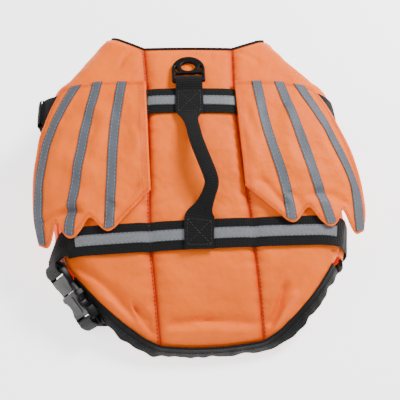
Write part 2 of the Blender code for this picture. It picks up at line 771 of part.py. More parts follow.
# How the hem's binding stands out and hangs down, by girth. On the left it is tucked in
# behind the buckle, so it has sizes of its own there.
#     s    out  drop  left_out  left_drop
HEM_TAPE = (
    (  0.0,  2.5, 10.5,  2.5, 10.5),
    ( 44.0,  3.5, 10.0,  3.5, 10.0),
    ( 56.0,  6.5,  8.0,  6.0,  8.0),
    ( 76.0,  8.0,  6.0,  4.0,  7.0),
    ( 95.0,  6.5,  8.0,  0.8,  6.0),
    (113.0,  5.5, 10.0,  0.2,  5.0),
    (130.0,  5.0, 10.0,  0.2,  5.0),
)


def build_neck_binding():
    corner = SIDE_EDGE[-1][1] - 2.0
    line = seam(NECK_Y)
    right = [0.0, 0.5 * line, line] + spread(line + 8.0, corner, 4)
    girths = [-s for s in reversed(right) if s > 0] + right
    outside, inside = [], []
    for reach in (GAP, NECK_TAPE):
        outside.append([skin(s, neck_edge(s) + reach, 0.5) for s in girths])
        inside.append([skin(s, neck_edge(s) + reach, -WALL - 0.5) for s in girths])
    return wall("neck_binding", outside, inside, BLACK)


def strip_along(name, edge, side, reach):
    """A tape beyond a cloth edge that is given as (girth, y) and drawn on the tube."""
    outside, inside = [[], []], [[], []]
    for i, (s, y, rise) in enumerate(edge):
        behind, ahead = edge[max(i - 1, 0)], edge[min(i + 1, len(edge) - 1)]
        step_s, step_y = ahead[0] - behind[0], ahead[1] - behind[1]
        length = math.hypot(step_s, step_y)
        for k, distance in enumerate((1.3 * GAP, reach)):
            place = (s - step_y / length * distance, y + step_s / length * distance)
            outside[k].append(skin(side * place[0], place[1], -rise))
            inside[k].append(skin(side * place[0], place[1], -rise - WALL))
    return wall(name, outside, inside, BLACK)


def build_armhole_binding(name, side):
    edge = []
    for step in range(EDGE_STEPS - 2, FLAP_STEPS[1] - 1, -1):
        s, y = side_edge(side, step / EDGE_STEPS)
        edge.append((s, y, 0.0))
    first, level = edge[-1][0] + GAP, edge[-1][1]
    for s in lap_girths(first, FLAP_LAP, level)[1:]:
        edge.append((s, level, lap_rise(side, s, FLAP_LAP, level)))
    return strip_along(name, edge, side, ARMHOLE_TAPE)


def build_flap_binding(name, side):
    first, level = through(SIDE_EDGE, FLAP_STEPS[0] / EDGE_STEPS)
    girths = [s for s in lap_girths(first + GAP, FLAP_LAP, level) if s > first + 9.0]
    girths[-1] -= FLAP_TAPE + 2.0
    edge = [(s, level, lap_rise(side, s, FLAP_LAP, level)) for s in girths]
    edge.reverse()
    return strip_along(name, edge, side, FLAP_TAPE)


def hem_points():
    """The hem from the left side round the tail to the right side, as (girth, y)."""
    right = [(0.0, hem_edge(0.0)), (24.0, hem_edge(24.0)), (seam(HEM_Y), HEM_Y)]
    right += [tuple(through(SIDE_EDGE, step / EDGE_STEPS)) for step in range(FLAP_STEPS[0])]
    return [(-s, y) for s, y in reversed(right) if s > 0] + right


def build_hem_binding():
    edge = hem_points()
    middles = [skin(s, y, -0.5 * WALL) for s, y in edge]
    outside, inside = [], []
    for i, (s, y) in enumerate(edge):
        along = middles[min(i + 1, len(edge) - 1)] - middles[max(i - 1, 0)]
        outward = Vector((along.y, -along.x, 0.0)).normalized()
        out, drop, left_out, left_drop = through(HEM_TAPE, abs(s))
        if s < 0:
            out, drop = left_out, left_drop
        reach = outward * out - Vector((0.0, 0.0, drop))
        face = reach.cross(along).normalized()
        if face.z < 0:
            face.negate()
        clear = outward * (1.6 * GAP + 0.5 * HEM_TAPE_THICK * abs(face.dot(outward)) + 0.4)
        row = [middles[i] + clear, middles[i] + clear + reach * 0.5, middles[i] + clear + reach]
        outside.append([p + face * 0.5 * HEM_TAPE_THICK for p in row])
        inside.append([p - face * 0.5 * HEM_TAPE_THICK for p in row])
    return wall("hem_binding", outside, inside, BLACK)


# ---------------------------------------------------------------- buckles
BUCKLE_WIDTH = 33.0
BUCKLE_THICK = 9.0
PLUG_LENGTH = 23.0     # the part that is pressed in, with its two arms
PLUG_THICK = 6.0
SLOT = 4.0


def build_buckle(prefix, top, low, face):
    """A fastened side-release buckle: the plug at its top end, the socket at its low end."""
    along, across, outward = face_frame(top, low, face)
    place = Matrix((along, -across, outward)).transposed().to_4x4()
    place.translation = (top + low) / 2 * MM
    half = (low - top).length / 2
    plug_mid = -half + PLUG_LENGTH / 2
    plug = block(prefix + "_buckle_plug", (PLUG_LENGTH, BUCKLE_WIDTH - 1.0, PLUG_THICK), MOULDED,
                 (plug_mid, 0.0, 0.0))
    cuts = [block(prefix + "_plug_slot", (SLOT, WEB_WIDTH + 1.0, 20.0), MOULDED,
                  (-half + 2.4 + SLOT / 2, 0.0, 0.0))]
    for side in (-1, 1):
        cuts.append(block(prefix + "_plug_gap_%d" % (side + 1), (9.0, 6.4, 20.0), MOULDED,
                          (-half + PLUG_LENGTH - 3.5, side * 6.2, 0.0)))
    for cut in cuts:
        cutter(cut, plug)
    socket_length = 2 * half - PLUG_LENGTH - GAP
    socket_mid = half - socket_length / 2
    socket = block(prefix + "_buckle_socket", (socket_length, BUCKLE_WIDTH, BUCKLE_THICK), MOULDED,
                   (socket_mid, 0.0, 0.0))
    holes = [block(prefix + "_socket_slot", (SLOT, WEB_WIDTH + 1.0, 20.0), MOULDED,
                   (half - 2.4 - SLOT / 2, 0.0, 0.0))]
    for side in (-1, 1):
        holes.append(block(prefix + "_socket_side_%d" % (side + 1), (13.0, 6.0, 4.4), MOULDED,
                           (socket_mid - 3.0, side * BUCKLE_WIDTH / 2, 0.0)))
    for hole in holes:
        cutter(hole, socket)
    for piece in [plug, socket] + cuts + holes:
        piece.matrix_world = place
    for piece in (plug, socket):
        edge = piece.modifiers.new("rounded edges", "BEVEL")
        edge.width = 1.2 * MM
        edge.segments = 2
        edge.limit_method = "ANGLE"
        piece.modifiers.move(len(piece.modifiers) - 1, 0)


def main():
    clear_scene()
    build_back_centre()
    build_throat_tab("throat_tab_left", -1)
    build_throat_tab("throat_tab_right", 1)
    for name, side in (("left", -1), ("right", 1)):
        build_back_side("back_" + name, side)
        build_flap("flap_" + name, side)
        build_wing("wing_" + name, side)
        for column, place in enumerate(("inner", "middle", "outer")):
            build_stripe("wing_stripe_" + name + "_" + place, side, column)
        build_armhole_binding("armhole_binding_" + name, side)
        build_flap_binding("flap_binding_" + name, side)
    build_waist_belt()
    build_chest_belt()
    build_tape("waist_tape", 0.0, (-110.0, 118.0))
    build_tape("chest_tape", CHEST_Y, (-39.0, 39.0))
    build_handle()
    build_ring()
    build_neck_binding()
    build_hem_binding()
    build_buckle("waist", WAIST_TOP, WAIST_LOW, WAIST_FACE)
    build_buckle("chest", CHEST_TOP, CHEST_LOW, CHEST_FACE)


main()
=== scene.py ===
"""The looks of a dog life jacket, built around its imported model.

The garment is a low padded tube that lies on its belly. Every cloth piece is drawn on one
surface, skin(s, y): y runs along the back, 0 at the waist belt and growing towards the neck,
and s is the girth measured round the tube from the middle of the back, right side positive.
Sizes in the tables are in millimetres, and points become metres when a mesh is made.
"""
import math

import bmesh
import bpy
import numpy as np
from mathutils import Matrix, Vector


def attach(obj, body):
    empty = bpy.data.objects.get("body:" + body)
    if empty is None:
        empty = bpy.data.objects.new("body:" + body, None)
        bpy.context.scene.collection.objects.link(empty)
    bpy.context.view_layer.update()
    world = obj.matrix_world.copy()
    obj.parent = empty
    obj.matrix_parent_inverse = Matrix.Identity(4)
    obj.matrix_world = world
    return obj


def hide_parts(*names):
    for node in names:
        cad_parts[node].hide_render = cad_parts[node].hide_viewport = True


bl_info = {
    "name": "Dog Life Jacket",
    "version": (1, 0, 0),
    "blender": (4, 5, 0),
    "location": "View3D > Sidebar > Life Jacket",
    "description": "Makes the cloth, webbing, tape and fittings of a dog life jacket",
    "category": "Object",
}

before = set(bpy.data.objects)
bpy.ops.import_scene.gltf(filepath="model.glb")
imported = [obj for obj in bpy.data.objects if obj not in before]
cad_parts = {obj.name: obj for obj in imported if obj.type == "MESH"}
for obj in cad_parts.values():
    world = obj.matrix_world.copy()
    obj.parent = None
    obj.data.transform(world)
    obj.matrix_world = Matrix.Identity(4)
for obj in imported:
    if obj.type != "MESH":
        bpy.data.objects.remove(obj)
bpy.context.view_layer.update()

MM = 0.001
GAP = 0.35             # between pieces that are sewn together or lie on each other
WALL = 2.4             # doubled outer cloth
PUFF = 4.0             # rise of a foam channel over its seams
PUFF_IN = 4.0          # and below them
PUFF_EDGE = 13.0       # width of a channel's rounded border
CHEST_Y = 128.0        # middle of the chest belt
BELLY_Z = 1.55         # outside of the belly flaps, with the belts under them
BELLY_ROUND = 18.0     # radius of the tube's lower corners
SKEW = 0.05            # twist of the front half: its left side sits further forward

# The tube's cross sections.
#     y  half_width height round_x round_z crown  seam
BODY = (
    (-92.0,  88.0, 11.0, 34.0, 12.0, 1.5, 45.5),
    (-84.0,  94.0, 19.0, 34.0, 14.0, 1.5, 45.5),
    (-68.0, 106.0, 28.5, 35.0, 20.0, 2.0, 45.5),
    (-40.0, 121.0, 42.5, 36.0, 26.0, 2.5, 45.5),
    (-15.0, 129.5, 52.5, 36.0, 28.0, 3.0, 45.5),
    (  0.0, 134.0, 58.0, 36.0, 29.0, 3.0, 45.5),
    ( 36.0, 136.0, 67.5, 36.0, 32.0, 3.0, 44.0),
    ( 72.0, 137.0, 75.5, 36.0, 34.0, 3.0, 42.5),
    (110.0, 138.0, 80.5, 36.0, 34.0, 3.0, 41.5),
    (133.0, 137.0, 83.0, 36.0, 34.0, 3.0, 41.0),
    (152.0, 132.0, 84.0, 35.0, 33.0, 3.0, 41.5),
    (172.0, 116.0, 84.0, 31.0, 31.0, 3.0, 42.5),
    (192.0, 100.0, 83.0, 27.0, 28.0, 2.5, 43.5),
    (215.0,  86.0, 81.0, 24.0, 25.0, 2.5, 44.5),
)
# Outer edge of a padded side channel, from the hem's corner to the neck's.
#  part   s      y
SIDE_EDGE = (
    (0.00,  60.0, -79.0),
    (0.08,  76.0, -66.0),
    (0.18,  95.0, -47.0),
    (0.28, 113.0, -26.0),
    (0.36, 127.0,  -9.0),
    (0.42, 132.0,  12.0),
    (0.55, 140.0,  60.0),
    (0.68, 147.0, 106.0),
    (0.79, 149.0, 146.0),
    (0.84, 132.0, 156.0),
    (0.89, 113.0, 172.0),
    (0.95,  95.0, 192.0),
    (1.00,  80.0, 209.0),
)
LEAN = ((-92.0, 5.0), (-40.0, 2.5), (0.0, 0.0), (60.0, -1.5), (128.0, -3.0), (215.0, -3.5))
LEFT_AHEAD = ((80.0, 5.0), (95.0, 13.0), (113.0, 21.0), (132.0, 18.0), (141.0, 9.0), (149.0, 0.0))
HEM_Y = -85.0
HEM_BOW = 3.0
NECK_Y = 192.0
EDGE_STEPS = 24
FLAP_STEPS = (8, 19)
FLAP_LAP = 32.0
LAP_STEP = 12.0
LAP_CLEAR = 9.0


# ---------------------------------------------------------------- curves and the tube
def smooth_step(value):
    value = np.clip(value, 0.0, 1.0)
    return value * value * (3.0 - 2.0 * value)


def through(rows, key):
    """Smooth values of a table at key, its first column."""
    rows = np.asarray(rows, float)
    place, values = rows[:, 0], rows[:, 1:]
    slope = np.empty_like(values)
    slope[1:-1] = (values[2:] - values[:-2]) / (place[2:] - place[:-2])[:, None]
    slope[0] = (values[1] - values[0]) / (place[1] - place[0])
    slope[-1] = (values[-1] - values[-2]) / (place[-1] - place[-2])
    key = np.clip(np.asarray(key, float), place[0], place[-1])
    low = np.clip(np.searchsorted(place, key, "right") - 1, 0, len(place) - 2)
    step = (place[low + 1] - place[low])[..., None]
    t = ((key - place[low])[..., None]) / step
    a, b = values[low], values[low + 1]
    made = (a + (b - a) * t * t * (3 - 2 * t) + slope[low] * step * t * (1 - t) ** 2
            - slope[low + 1] * step * t * t * (1 - t))
    return np.moveaxis(made, -1, 0)


def unit(vector):
    vector = np.asarray(vector, float)
    return vector / np.linalg.norm(vector)


def units(rows):
    """Each row as a direction of length 1."""
    return rows / np.linalg.norm(rows, axis=1)[:, None]


def distances(points):
    """How far along a line of points each of them lies."""
    return np.concatenate([[0], np.cumsum(np.linalg.norm(np.diff(points, axis=0), axis=1))])


def at_run(place, run, rows):
    """Points, or directions, at places along the run of a line."""
    return np.stack([np.interp(place, run, rows[:, k]) for k in range(3)], -1)


def spaced(start, end, count):
    return np.linspace(start, end, count + 1)


def seam(y):
    """Girth of the seam between the middle channel and a side channel."""
    return through(BODY, y)[5]


def section_lengths(y):
    """Girth up to the end of the top, of the upper corner, of the side and of the lower corner."""
    half, height, round_x, round_z, crown, _ = through(BODY, y)
    top = half - round_x
    corner = top + 0.5 * math.pi * np.sqrt((round_x ** 2 + round_z ** 2) / 2)
    side = corner + np.maximum(height - crown - round_z - BELLY_Z - BELLY_ROUND, 0.0)
    return top, corner, side, side + 0.5 * math.pi * BELLY_ROUND


def belly_s(x, y):
    """Girth of a place under the body, by its distance from the middle of the belly."""
    return section_lengths(y)[3] + through(BODY, y)[0] - BELLY_ROUND - x


def placed(x, y, z):
    """A point of the straight tube, twisted and leant as the garment lies."""
    twist = SKEW * smooth_step((y - 20.0) / 90.0)
    return np.stack([x + through(LEAN, y)[0], y - twist * x, z], axis=-1)


def skin(s, y, out=0.0):
    """Points of the tube, moved out along its normal."""
    s, y, out = np.broadcast_arrays(*(np.asarray(v, float) for v in (s, y, out)))
    half, height, round_x, round_z, crown, _ = through(BODY, y)
    top, corner, side, foot = section_lengths(y)
    sign = np.where(s < 0, -1.0, 1.0)
    s = np.abs(s)
    turn = 0.5 * math.pi * np.clip((s - top) / (corner - top), 0, 1)
    low_turn = np.clip((s - side) / BELLY_ROUND, 0, 0.5 * math.pi)
    parts = [s <= top, s <= corner, s <= side, s <= foot]
    flat = half - BELLY_ROUND - (s - foot)
    x = np.select(parts, [s, top + round_x * np.sin(turn), half,
                          half - BELLY_ROUND * (1 - np.cos(low_turn))], flat)
    z = np.select(parts, [height - crown * (s / top) ** 2,
                          height - crown - round_z * (1 - np.cos(turn)),
                          height - crown - round_z - (s - corner),
                          BELLY_Z + BELLY_ROUND * (1 - np.sin(low_turn))], BELLY_Z)
    nx = np.select(parts, [2 * crown * s / top ** 2, np.sin(turn) / round_x, 1.0,
                           np.cos(low_turn)], 0.0)
    nz = np.select(parts, [1.0, np.cos(turn) / round_z, 0.0, -np.sin(low_turn)], -1.0)
    length = np.hypot(nx, nz)
    return placed(sign * (x + out * nx / length), y, z + out * nz / length)


def skin_normal(s, y):
    return skin(s, y, 1.0) - skin(s, y)


def side_edge(side, part):
    """Girth and y of a side channel's outer edge."""
    s, y = through(SIDE_EDGE, part)
    if side < 0:
        y = y + np.where(y > 0, through(LEFT_AHEAD, s)[0], 0.0)
    return s, y


EDGE_CURVE = {side: side_edge(side, np.linspace(0, 1, 400)) for side in (-1, 1)}


def edge_s(side, y):
    """Girth of a side channel's outer edge at y."""
    s, level = EDGE_CURVE[side]
    return np.interp(y, level, s)


def neck_edge(s):
    """y of the neck's edge at a girth."""
    start = seam(NECK_Y)
    corner_s = SIDE_EDGE[-1][1]
    corner_y = np.where(s < 0, side_edge(-1, 1.0)[1], side_edge(1, 1.0)[1])
    return NECK_Y + np.maximum(0.0, np.abs(s) - start) / (corner_s - start) * (corner_y - NECK_Y)


def hem_edge(s):
    """y of the hem at a girth."""
    start, corner_s, corner_y = seam(HEM_Y), SIDE_EDGE[0][1], SIDE_EDGE[0][2]
    s = np.abs(s)
    return np.where(s < start, HEM_Y - HEM_BOW * (1 - (s / start) ** 2),
                    HEM_Y + (s - start) / (corner_s - start) * (corner_y - HEM_Y))


def rounded(distance):
    """Share of a channel's full rise at a distance from its border."""
    return 1.0 - (1.0 - np.clip(distance / PUFF_EDGE, 0.0, 1.0)) ** 2.4


def puff(s, y):
    """Share of the foam's full rise, 0 at the seams and edges of a channel."""
    away = np.abs(s) - seam(y)
    edge = np.where(s < 0, edge_s(-1, y), edge_s(1, y))
    across = rounded(np.abs(away)) * np.where(away > 0, rounded((edge - np.abs(s)) * 0.8), 1.0)
    return across * rounded(neck_edge(s) - y) * rounded(y - hem_edge(s))


# ---------------------------------------------------------------- creases
def ripple(a, b, pitch, seed):
    """Soft uneven waves between -1 and 1 over a surface, about pitch apart."""
    draw = np.random.default_rng(seed)
    total = np.zeros(np.broadcast(a, b).shape)
    for _ in range(7):
        angle, phase = draw.uniform(0, 2 * math.pi, 2)
        length = pitch * draw.uniform(0.6, 1.7)
        total = total + np.sin(2 * math.pi * (a * math.cos(angle) + b * math.sin(angle)) / length
                               + phase)
    return total / 4.0


def waved(a, b, rows, side=0):
    """Ripples over a surface, from rows of a height, a pitch and a seed."""
    return sum(height * ripple(a, b, pitch, seed + side) for height, pitch, seed in rows)


def creases(s, y, rows):
    """Soft uneven troughs and ridges, each from one end to another with a width and a rise."""
    total = np.zeros(np.broadcast(s, y).shape)
    for number, (s0, y0, s1, y1, width, rise) in enumerate(rows):
        length = math.hypot(s1 - s0, y1 - y0)
        way = ((s1 - s0) / length, (y1 - y0) / length)
        along = (s - s0) * way[0] + (y - y0) * way[1]
        across = (y - y0) * way[0] - (s - s0) * way[1]
        bend = 0.9 * width * np.sin(2.2 * along / length * math.pi / 2 + number)
        wide = width * (1.0 + 0.25 * np.sin(along / 9.0 + 2 * number))
        share = along / length
        fade = smooth_step(share * 4 + 0.4) * smooth_step((1 - share) * 4 + 0.4)
        total = total + rise * fade * np.exp(-((across - bend) / wide) ** 2)
    return total


# On the padded back, by girth and y.
#    s0     y0     s1     y1   width  rise
BACK_CREASES = (
    (-44.0, -71.0,  44.0, -72.0, 4.0, -2.2),
    (-40.0, -80.0,  41.0, -79.5, 3.5,  1.0),
    (-30.0, -60.0,  10.0, -63.0, 6.0, -0.6),
    ( 12.0, -56.0,  42.0, -50.0, 6.0, -0.5),
    ( 47.0, -74.0,  72.0, -44.0, 3.4, -2.6),
    ( 52.0, -77.0,  80.0, -52.0, 3.0,  1.8),
    ( 48.0, -72.0,  66.0, -30.0, 5.0, -0.9),
    (-47.0, -74.0, -68.0, -52.0, 3.2, -2.6),
    (-50.0, -62.0, -66.0, -58.0, 4.0, -1.8),
    (-62.0, -66.0, -118.0, -14.0, 4.5, -2.2),
    (-72.0, -67.0, -122.0, -18.0, 3.0,  1.0),
    ( 68.0, -64.0, 118.0, -15.0, 4.0, -1.2),
    (-34.0,  30.0, -10.0,  26.0, 5.0, -0.5),
    ( 14.0,  96.0,  36.0, 104.0, 5.0, -0.5),
    (-36.0, 104.0, -16.0,  98.0, 5.0, -0.5),
    (  0.0, 182.0,  36.0, 178.0, 5.0, -0.5),
    (-46.0, 196.0, -70.0, 168.0, 4.0, -0.9),
    ( 46.0, 198.0,  66.0, 170.0, 4.0, -0.8),
    (-100.0, 190.0, -128.0, 160.0, 5.0, -1.0),
    ( 92.0, 186.0, 122.0, 156.0, 5.0, -1.0),
    ( 108.0, -8.0, 124.0, -22.0, 3.0, -1.0),
)
# On the wings, by x and y.
WING_CREASES = {
    -1: ((103.0, 24.0, 141.0, 22.0, 3.0, -1.5), (100.0, 29.0, 138.0, 28.0, 4.0, 0.8),
         (50.0, 44.0, 78.0, 24.0, 4.0, -0.9), (52.0, 120.0, 60.0, 60.0, 7.0, 0.8),
         (92.0, 120.0, 92.0, 50.0, 8.0, 0.9), (124.0, 100.0, 128.0, 40.0, 7.0, 0.8),
         (46.0, 140.0, 50.0, 90.0, 4.0, -0.8), (74.0, 30.0, 88.0, 14.0, 4.0, -0.8),
         (100.0, 132.0, 126.0, 112.0, 5.0, -0.9)),
    1: ((96.0, 30.0, 136.0, 24.0, 4.0, -1.0), (50.0, 46.0, 80.0, 22.0, 4.0, -1.0),
        (54.0, 124.0, 60.0, 60.0, 7.0, 0.8), (90.0, 124.0, 94.0, 46.0, 8.0, 0.9),
        (122.0, 104.0, 128.0, 36.0, 7.0, 0.8), (46.0, 138.0, 52.0, 84.0, 4.0, -0.8),
        (82.0, 34.0, 90.0, 12.0, 4.0, -0.9), (100.0, 132.0, 124.0, 114.0, 5.0, -0.9)),
}
BELTS = ((0.0, 14.5), (CHEST_Y, 14.5))   # the belts press these bands of the padding down
BELT_PRESS = 0.9
# Ripples on each kind of cloth: height, pitch and seed.
BACK_WAVES = ((0.5, 34.0, 3),)
LINING_WAVES = ((0.3, 30.0, 5),)
FLAP_WAVES = ((1.3, 40.0, 11), (0.8, 17.0, 13))
TAB_WAVES = ((1.4, 34.0, 17), (0.5, 14.0, 19))
WING_WAVES = ((0.8, 38.0, 23),)


def back_rise(s, y):
    """Height of the padded back over the tube, with its creases and the seams' puckers."""
    share = puff(s, y)
    near = np.exp(-np.abs(np.abs(s) - seam(y)) / 7.0)
    pucker = near * np.sin(2 * math.pi * (y + 2.0 * np.sin(y / 17.0)) / 10.5 + 1.3 * np.sign(s))
    press = sum(np.exp(-(np.abs(y - level) / half) ** 4) for level, half in BELTS)
    rise = PUFF * share + 1.9 * share * creases(s, y, BACK_CREASES)
    rise += 0.8 * pucker * np.minimum(1.0, 3 * share) + share * waved(s, y, BACK_WAVES)
    return rise - BELT_PRESS * press * share


# ---------------------------------------------------------------- mesh makers
def link(name, mesh, look):
    thing = bpy.data.objects.new(name, mesh)
    bpy.context.scene.collection.objects.link(thing)
    mesh.materials.append(look)
    return thing


def turned_out(points, faces):
    """The same faces, reversed where they enclose their volume from the inside."""
    corners = np.array([(face[0], face[k], face[k + 1])
                        for face in faces for k in range(1, len(face) - 1)])
    first, second, third = (points[corners[:, k]] for k in range(3))
    volume = (first * np.cross(second, third)).sum()
    return faces if volume > 0 else [face[::-1] for face in faces]


def surface(name, points, faces, look, cloth=None, painted_shade=None, sharp=40):
    """A mesh from points in millimetres; cloth gives each point's place on the flat cloth. Each
    point can also carry a share of painted shade for the cloth material.
    """
    mesh = bpy.data.meshes.new(name)
    points = np.asarray(points, float).reshape(-1, 3)
    faces = turned_out(points, faces)
    mesh.from_pydata((points * MM).tolist(), [], faces)
    if cloth is not None:
        corner = np.zeros(len(mesh.loops), np.int32)
        mesh.loops.foreach_get("vertex_index", corner)
        layer = mesh.uv_layers.new(name="cloth")
        layer.uv.foreach_set("vector", (np.asarray(cloth, float)[corner] * MM).ravel())
    # Each point's share of painted shade.
    if painted_shade is not None:
        mark = mesh.attributes.new("painted_shade", "FLOAT", "POINT")
        mark.data.foreach_set("value", np.asarray(painted_shade, float))
    mesh.shade_smooth()
    mesh.set_sharp_from_angle(angle=math.radians(sharp))
    return link(name, mesh, look)


def grid_faces(rows, columns, start=0, flip=False):
    faces = []
    for r in range(rows - 1):
        for c in range(columns - 1):
            a, b = start + r * columns + c, start + (r + 1) * columns + c
            faces.append((a, b, b + 1, a + 1) if flip else (a, a + 1, b + 1, b))
    return faces


def shell(name, outside, inside, look, cloth, painted_shade=None, fold=0.35):
    """A closed cloth wall between two grids of points, with a rounded folded edge all round."""
    rows, columns = outside.shape[:2]
    count = rows * columns
    rim = np.array(list(range(columns))
                   + [r * columns + columns - 1 for r in range(1, rows)]
                   + [(rows - 1) * columns + c for c in range(columns - 2, -1, -1)]
                   + [r * columns for r in range(rows - 2, 0, -1)])
    out_flat, in_flat = outside.reshape(-1, 3), inside.reshape(-1, 3)
    inner = np.clip(rim // columns, 1, rows - 2) * columns + np.clip(rim % columns, 1, columns - 2)
    away = out_flat[rim] - out_flat[inner]
    away /= np.maximum(np.linalg.norm(away, axis=1), 1e-6)[:, None]
    thick = np.linalg.norm(out_flat[rim] - in_flat[rim], axis=1)[:, None]
    middle = 0.5 * (out_flat[rim] + in_flat[rim]) + away * thick * fold
    points = np.concatenate([out_flat, in_flat, middle])
    flat = np.asarray(cloth, float).reshape(-1, 2)
    places = np.concatenate([flat, flat, flat[rim]])
    # The points' shares of painted shade, on both faces and on the rim.
    if painted_shade is not None:
        painted_shade = np.asarray(painted_shade, float).reshape(-1)
        painted_shade = np.concatenate([painted_shade, painted_shade, painted_shade[rim]])
    faces = grid_faces(rows, columns) + grid_faces(rows, columns, count, True)
    size = len(rim)
    for k in range(size):
        a, b = int(rim[k]), int(rim[(k + 1) % size])
        m, n = 2 * count + k, 2 * count + (k + 1) % size
        faces.append((b, a, m, n))
        faces.append((n, m, count + a, count + b))
    return surface(name, points, faces, look, places, painted_shade, 65)


# A rounded section of webbing: shares of its width and of its thickness, and its crown.
WEB_SIDE = np.array([-1, -0.72, -0.3, 0.3, 0.72, 1, 1, 0.72, 0.3, -0.3, -0.72, -1]) * 0.5
WEB_UP = np.array([-0.3, -0.5, -0.5, -0.5, -0.5, -0.3, 0.3, 0.5, 0.5, 0.5, 0.5, 0.3])
WEB_CROWN = np.array([0, 0.5, 1, 1, 0.5, 0, 0, 0.5, 1, 1, 0.5, 0]) * np.sign(WEB_UP)
SECTION = len(WEB_SIDE)


def ribbon(name, stations, look, bulge=0.0):
    """Webbing with rounded edges through rows of middle, across, outward, width, thickness."""
    stations = np.asarray(stations, float)
    middle, across, outward = stations[:, :3], stations[:, 3:6], stations[:, 6:9]
    width, thick = stations[:, 9:10], stations[:, 10:11]
    reach = np.maximum(thick, 0.1) * WEB_UP[None, :] + bulge * WEB_CROWN[None, :]
    points = (middle[:, None, :] + across[:, None, :] * (width * WEB_SIDE[None, :])[..., None]
              + outward[:, None, :] * reach[..., None])
    rows = len(stations)
    start = tuple(range(SECTION))
    faces = [start, tuple((rows - 1) * SECTION + k for k in start[::-1])]
    for i in range(rows - 1):
        for k in range(SECTION):
            a, b = i * SECTION + k, i * SECTION + (k + 1) % SECTION
            faces.append((b, a, a + SECTION, b + SECTION))
    cloth = np.stack([np.repeat(distances(middle), SECTION),
                      np.tile(WEB_SIDE, rows) * np.repeat(width[:, 0], SECTION)], 1)
    return surface(name, points, faces, look, cloth, sharp=50)


def finer(stations, step):
    """The same webbing with a station about every step."""
    stations = np.asarray(stations, float)
    gaps = np.linalg.norm(np.diff(stations[:, :3], axis=0), axis=1)
    length = np.concatenate([[0], np.cumsum(np.maximum(gaps, 0.05))])
    at = np.linspace(0, length[-1], int(length[-1] / step) + 2)
    made = np.moveaxis(through(np.column_stack([length, stations]), at), 0, -1)
    for k in (3, 6):
        made[:, k:k + 3] = units(made[:, k:k + 3])
    return made


# A lockstitch as a bead: places along its length and shares of its thickness there.
BEAD = ((-0.5, 0.35), (-0.36, 0.9), (0.0, 1.0), (0.36, 0.9), (0.5, 0.35))
BEAD_SIDES = 5
# Length and thickness of the lockstitches on tapes, on heavy seams and on the bindings, and the
# pitch of those sewn in black.
FINE_STITCH = (2.4, 0.26)
HEAVY_STITCH = (2.3, 0.36)
BINDING_STITCH = (2.2, 0.24)
BLACK_PITCH = 3.0


def stitches(name, rows, look, pitch=3.6, length=2.6, thick=0.34):
    """Rows of lockstitches; a row is its points and the outward direction at each."""
    points, faces = [], []
    for line, outward in rows:
        line, outward = np.asarray(line, float), np.asarray(outward, float)
        run = distances(line)
        count = max(1, int(run[-1] / pitch))
        for i in range(count):
            at = (i + 0.5) * run[-1] / count
            here, out = at_run(at, run, line), at_run(at, run, outward)
            way = unit(at_run(at + 0.5, run, line) - at_run(at - 0.5, run, line))
            out = unit(out - way * out.dot(way))
            across = np.cross(way, out)
            start = len(points)
            for share, size in BEAD:
                for k in range(BEAD_SIDES):
                    turn = 2 * math.pi * k / BEAD_SIDES
                    points.append(here + way * share * length
                                  + across * math.cos(turn) * thick * size
                                  + out * (math.sin(turn) * thick * size * 0.8 + thick * 0.25))
            for ring in range(start, len(points) - BEAD_SIDES, BEAD_SIDES):
                for k in range(BEAD_SIDES):
                    a, b = ring + k, ring + (k + 1) % BEAD_SIDES
                    faces.append((a, b, b + BEAD_SIDES, a + BEAD_SIDES))
            faces.append(tuple(range(start + BEAD_SIDES - 1, start - 1, -1)))
            faces.append(tuple(range(len(points) - BEAD_SIDES, len(points))))
    return surface(name, points, faces, look, sharp=80)


def cut_plate(name, outlines, thick, soft, look):
    """A moulded plate from an outline and its holes, with edges rounded by soft."""
    curve = bpy.data.curves.new(name, "CURVE")
    curve.dimensions = "2D"
    curve.fill_mode = "BOTH"
    curve.extrude = (thick / 2 - soft) * MM
    curve.bevel_depth = soft * MM
    curve.bevel_resolution = 3
    curve.offset = -soft * MM
    for outline in outlines:
        spline = curve.splines.new("POLY")
        spline.points.add(len(outline) - 1)
        for point, (x, y) in zip(spline.points, outline):
            point.co = (x * MM, y * MM, 0, 1)
        spline.use_cyclic_u = True
    shape = bpy.data.objects.new(name + "_outline", curve)
    mesh = bpy.data.meshes.new_from_object(shape)
    bpy.data.objects.remove(shape)
    bpy.data.curves.remove(curve)
    mesh.name = name
    mesh.materials.clear()
    mesh.shade_smooth()
    mesh.set_sharp_from_angle(angle=math.radians(40))
    return link(name, mesh, look)


def weld(thing, distance=0.00002):
    """Closes the seams between a plate's filled faces and its rounded edge."""
    work = bmesh.new()
    work.from_mesh(thing.data)
    bmesh.ops.remove_doubles(work, verts=work.verts, dist=distance)
    bmesh.ops.recalc_face_normals(work, faces=work.faces)
    if work.calc_volume(signed=True) < 0:
        bmesh.ops.reverse_faces(work, faces=work.faces)
    work.to_mesh(thing.data)
    work.free()


def put(thing, node, body="jacket", stands_for=True):
    """Ties a piece to its body and, where it stands for a node, hides that node's imported part.
    """
    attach(thing, body)
    if stands_for:
        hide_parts(node)


# ---------------------------------------------------------------- materials
def linear(colour):
    """An sRGB hex colour as linear numbers."""
    parts = [int(colour[i:i + 2], 16) / 255 for i in (1, 3, 5)]
    parts = [p / 12.92 if p <= 0.04045 else ((p + 0.055) / 1.055) ** 2.4 for p in parts]
    return (*parts, 1.0)


def add(tree, kind, inputs, **settings):
    """A node with its settings; an input is a value or another node's output."""
    made = tree.nodes.new(kind)
    for key, value in settings.items():
        setattr(made, key, value)
    for key, value in inputs.items():
        if isinstance(value, bpy.types.NodeSocket):
            tree.links.new(value, made.inputs[key])
        else:
            made.inputs[key].default_value = value
    return made


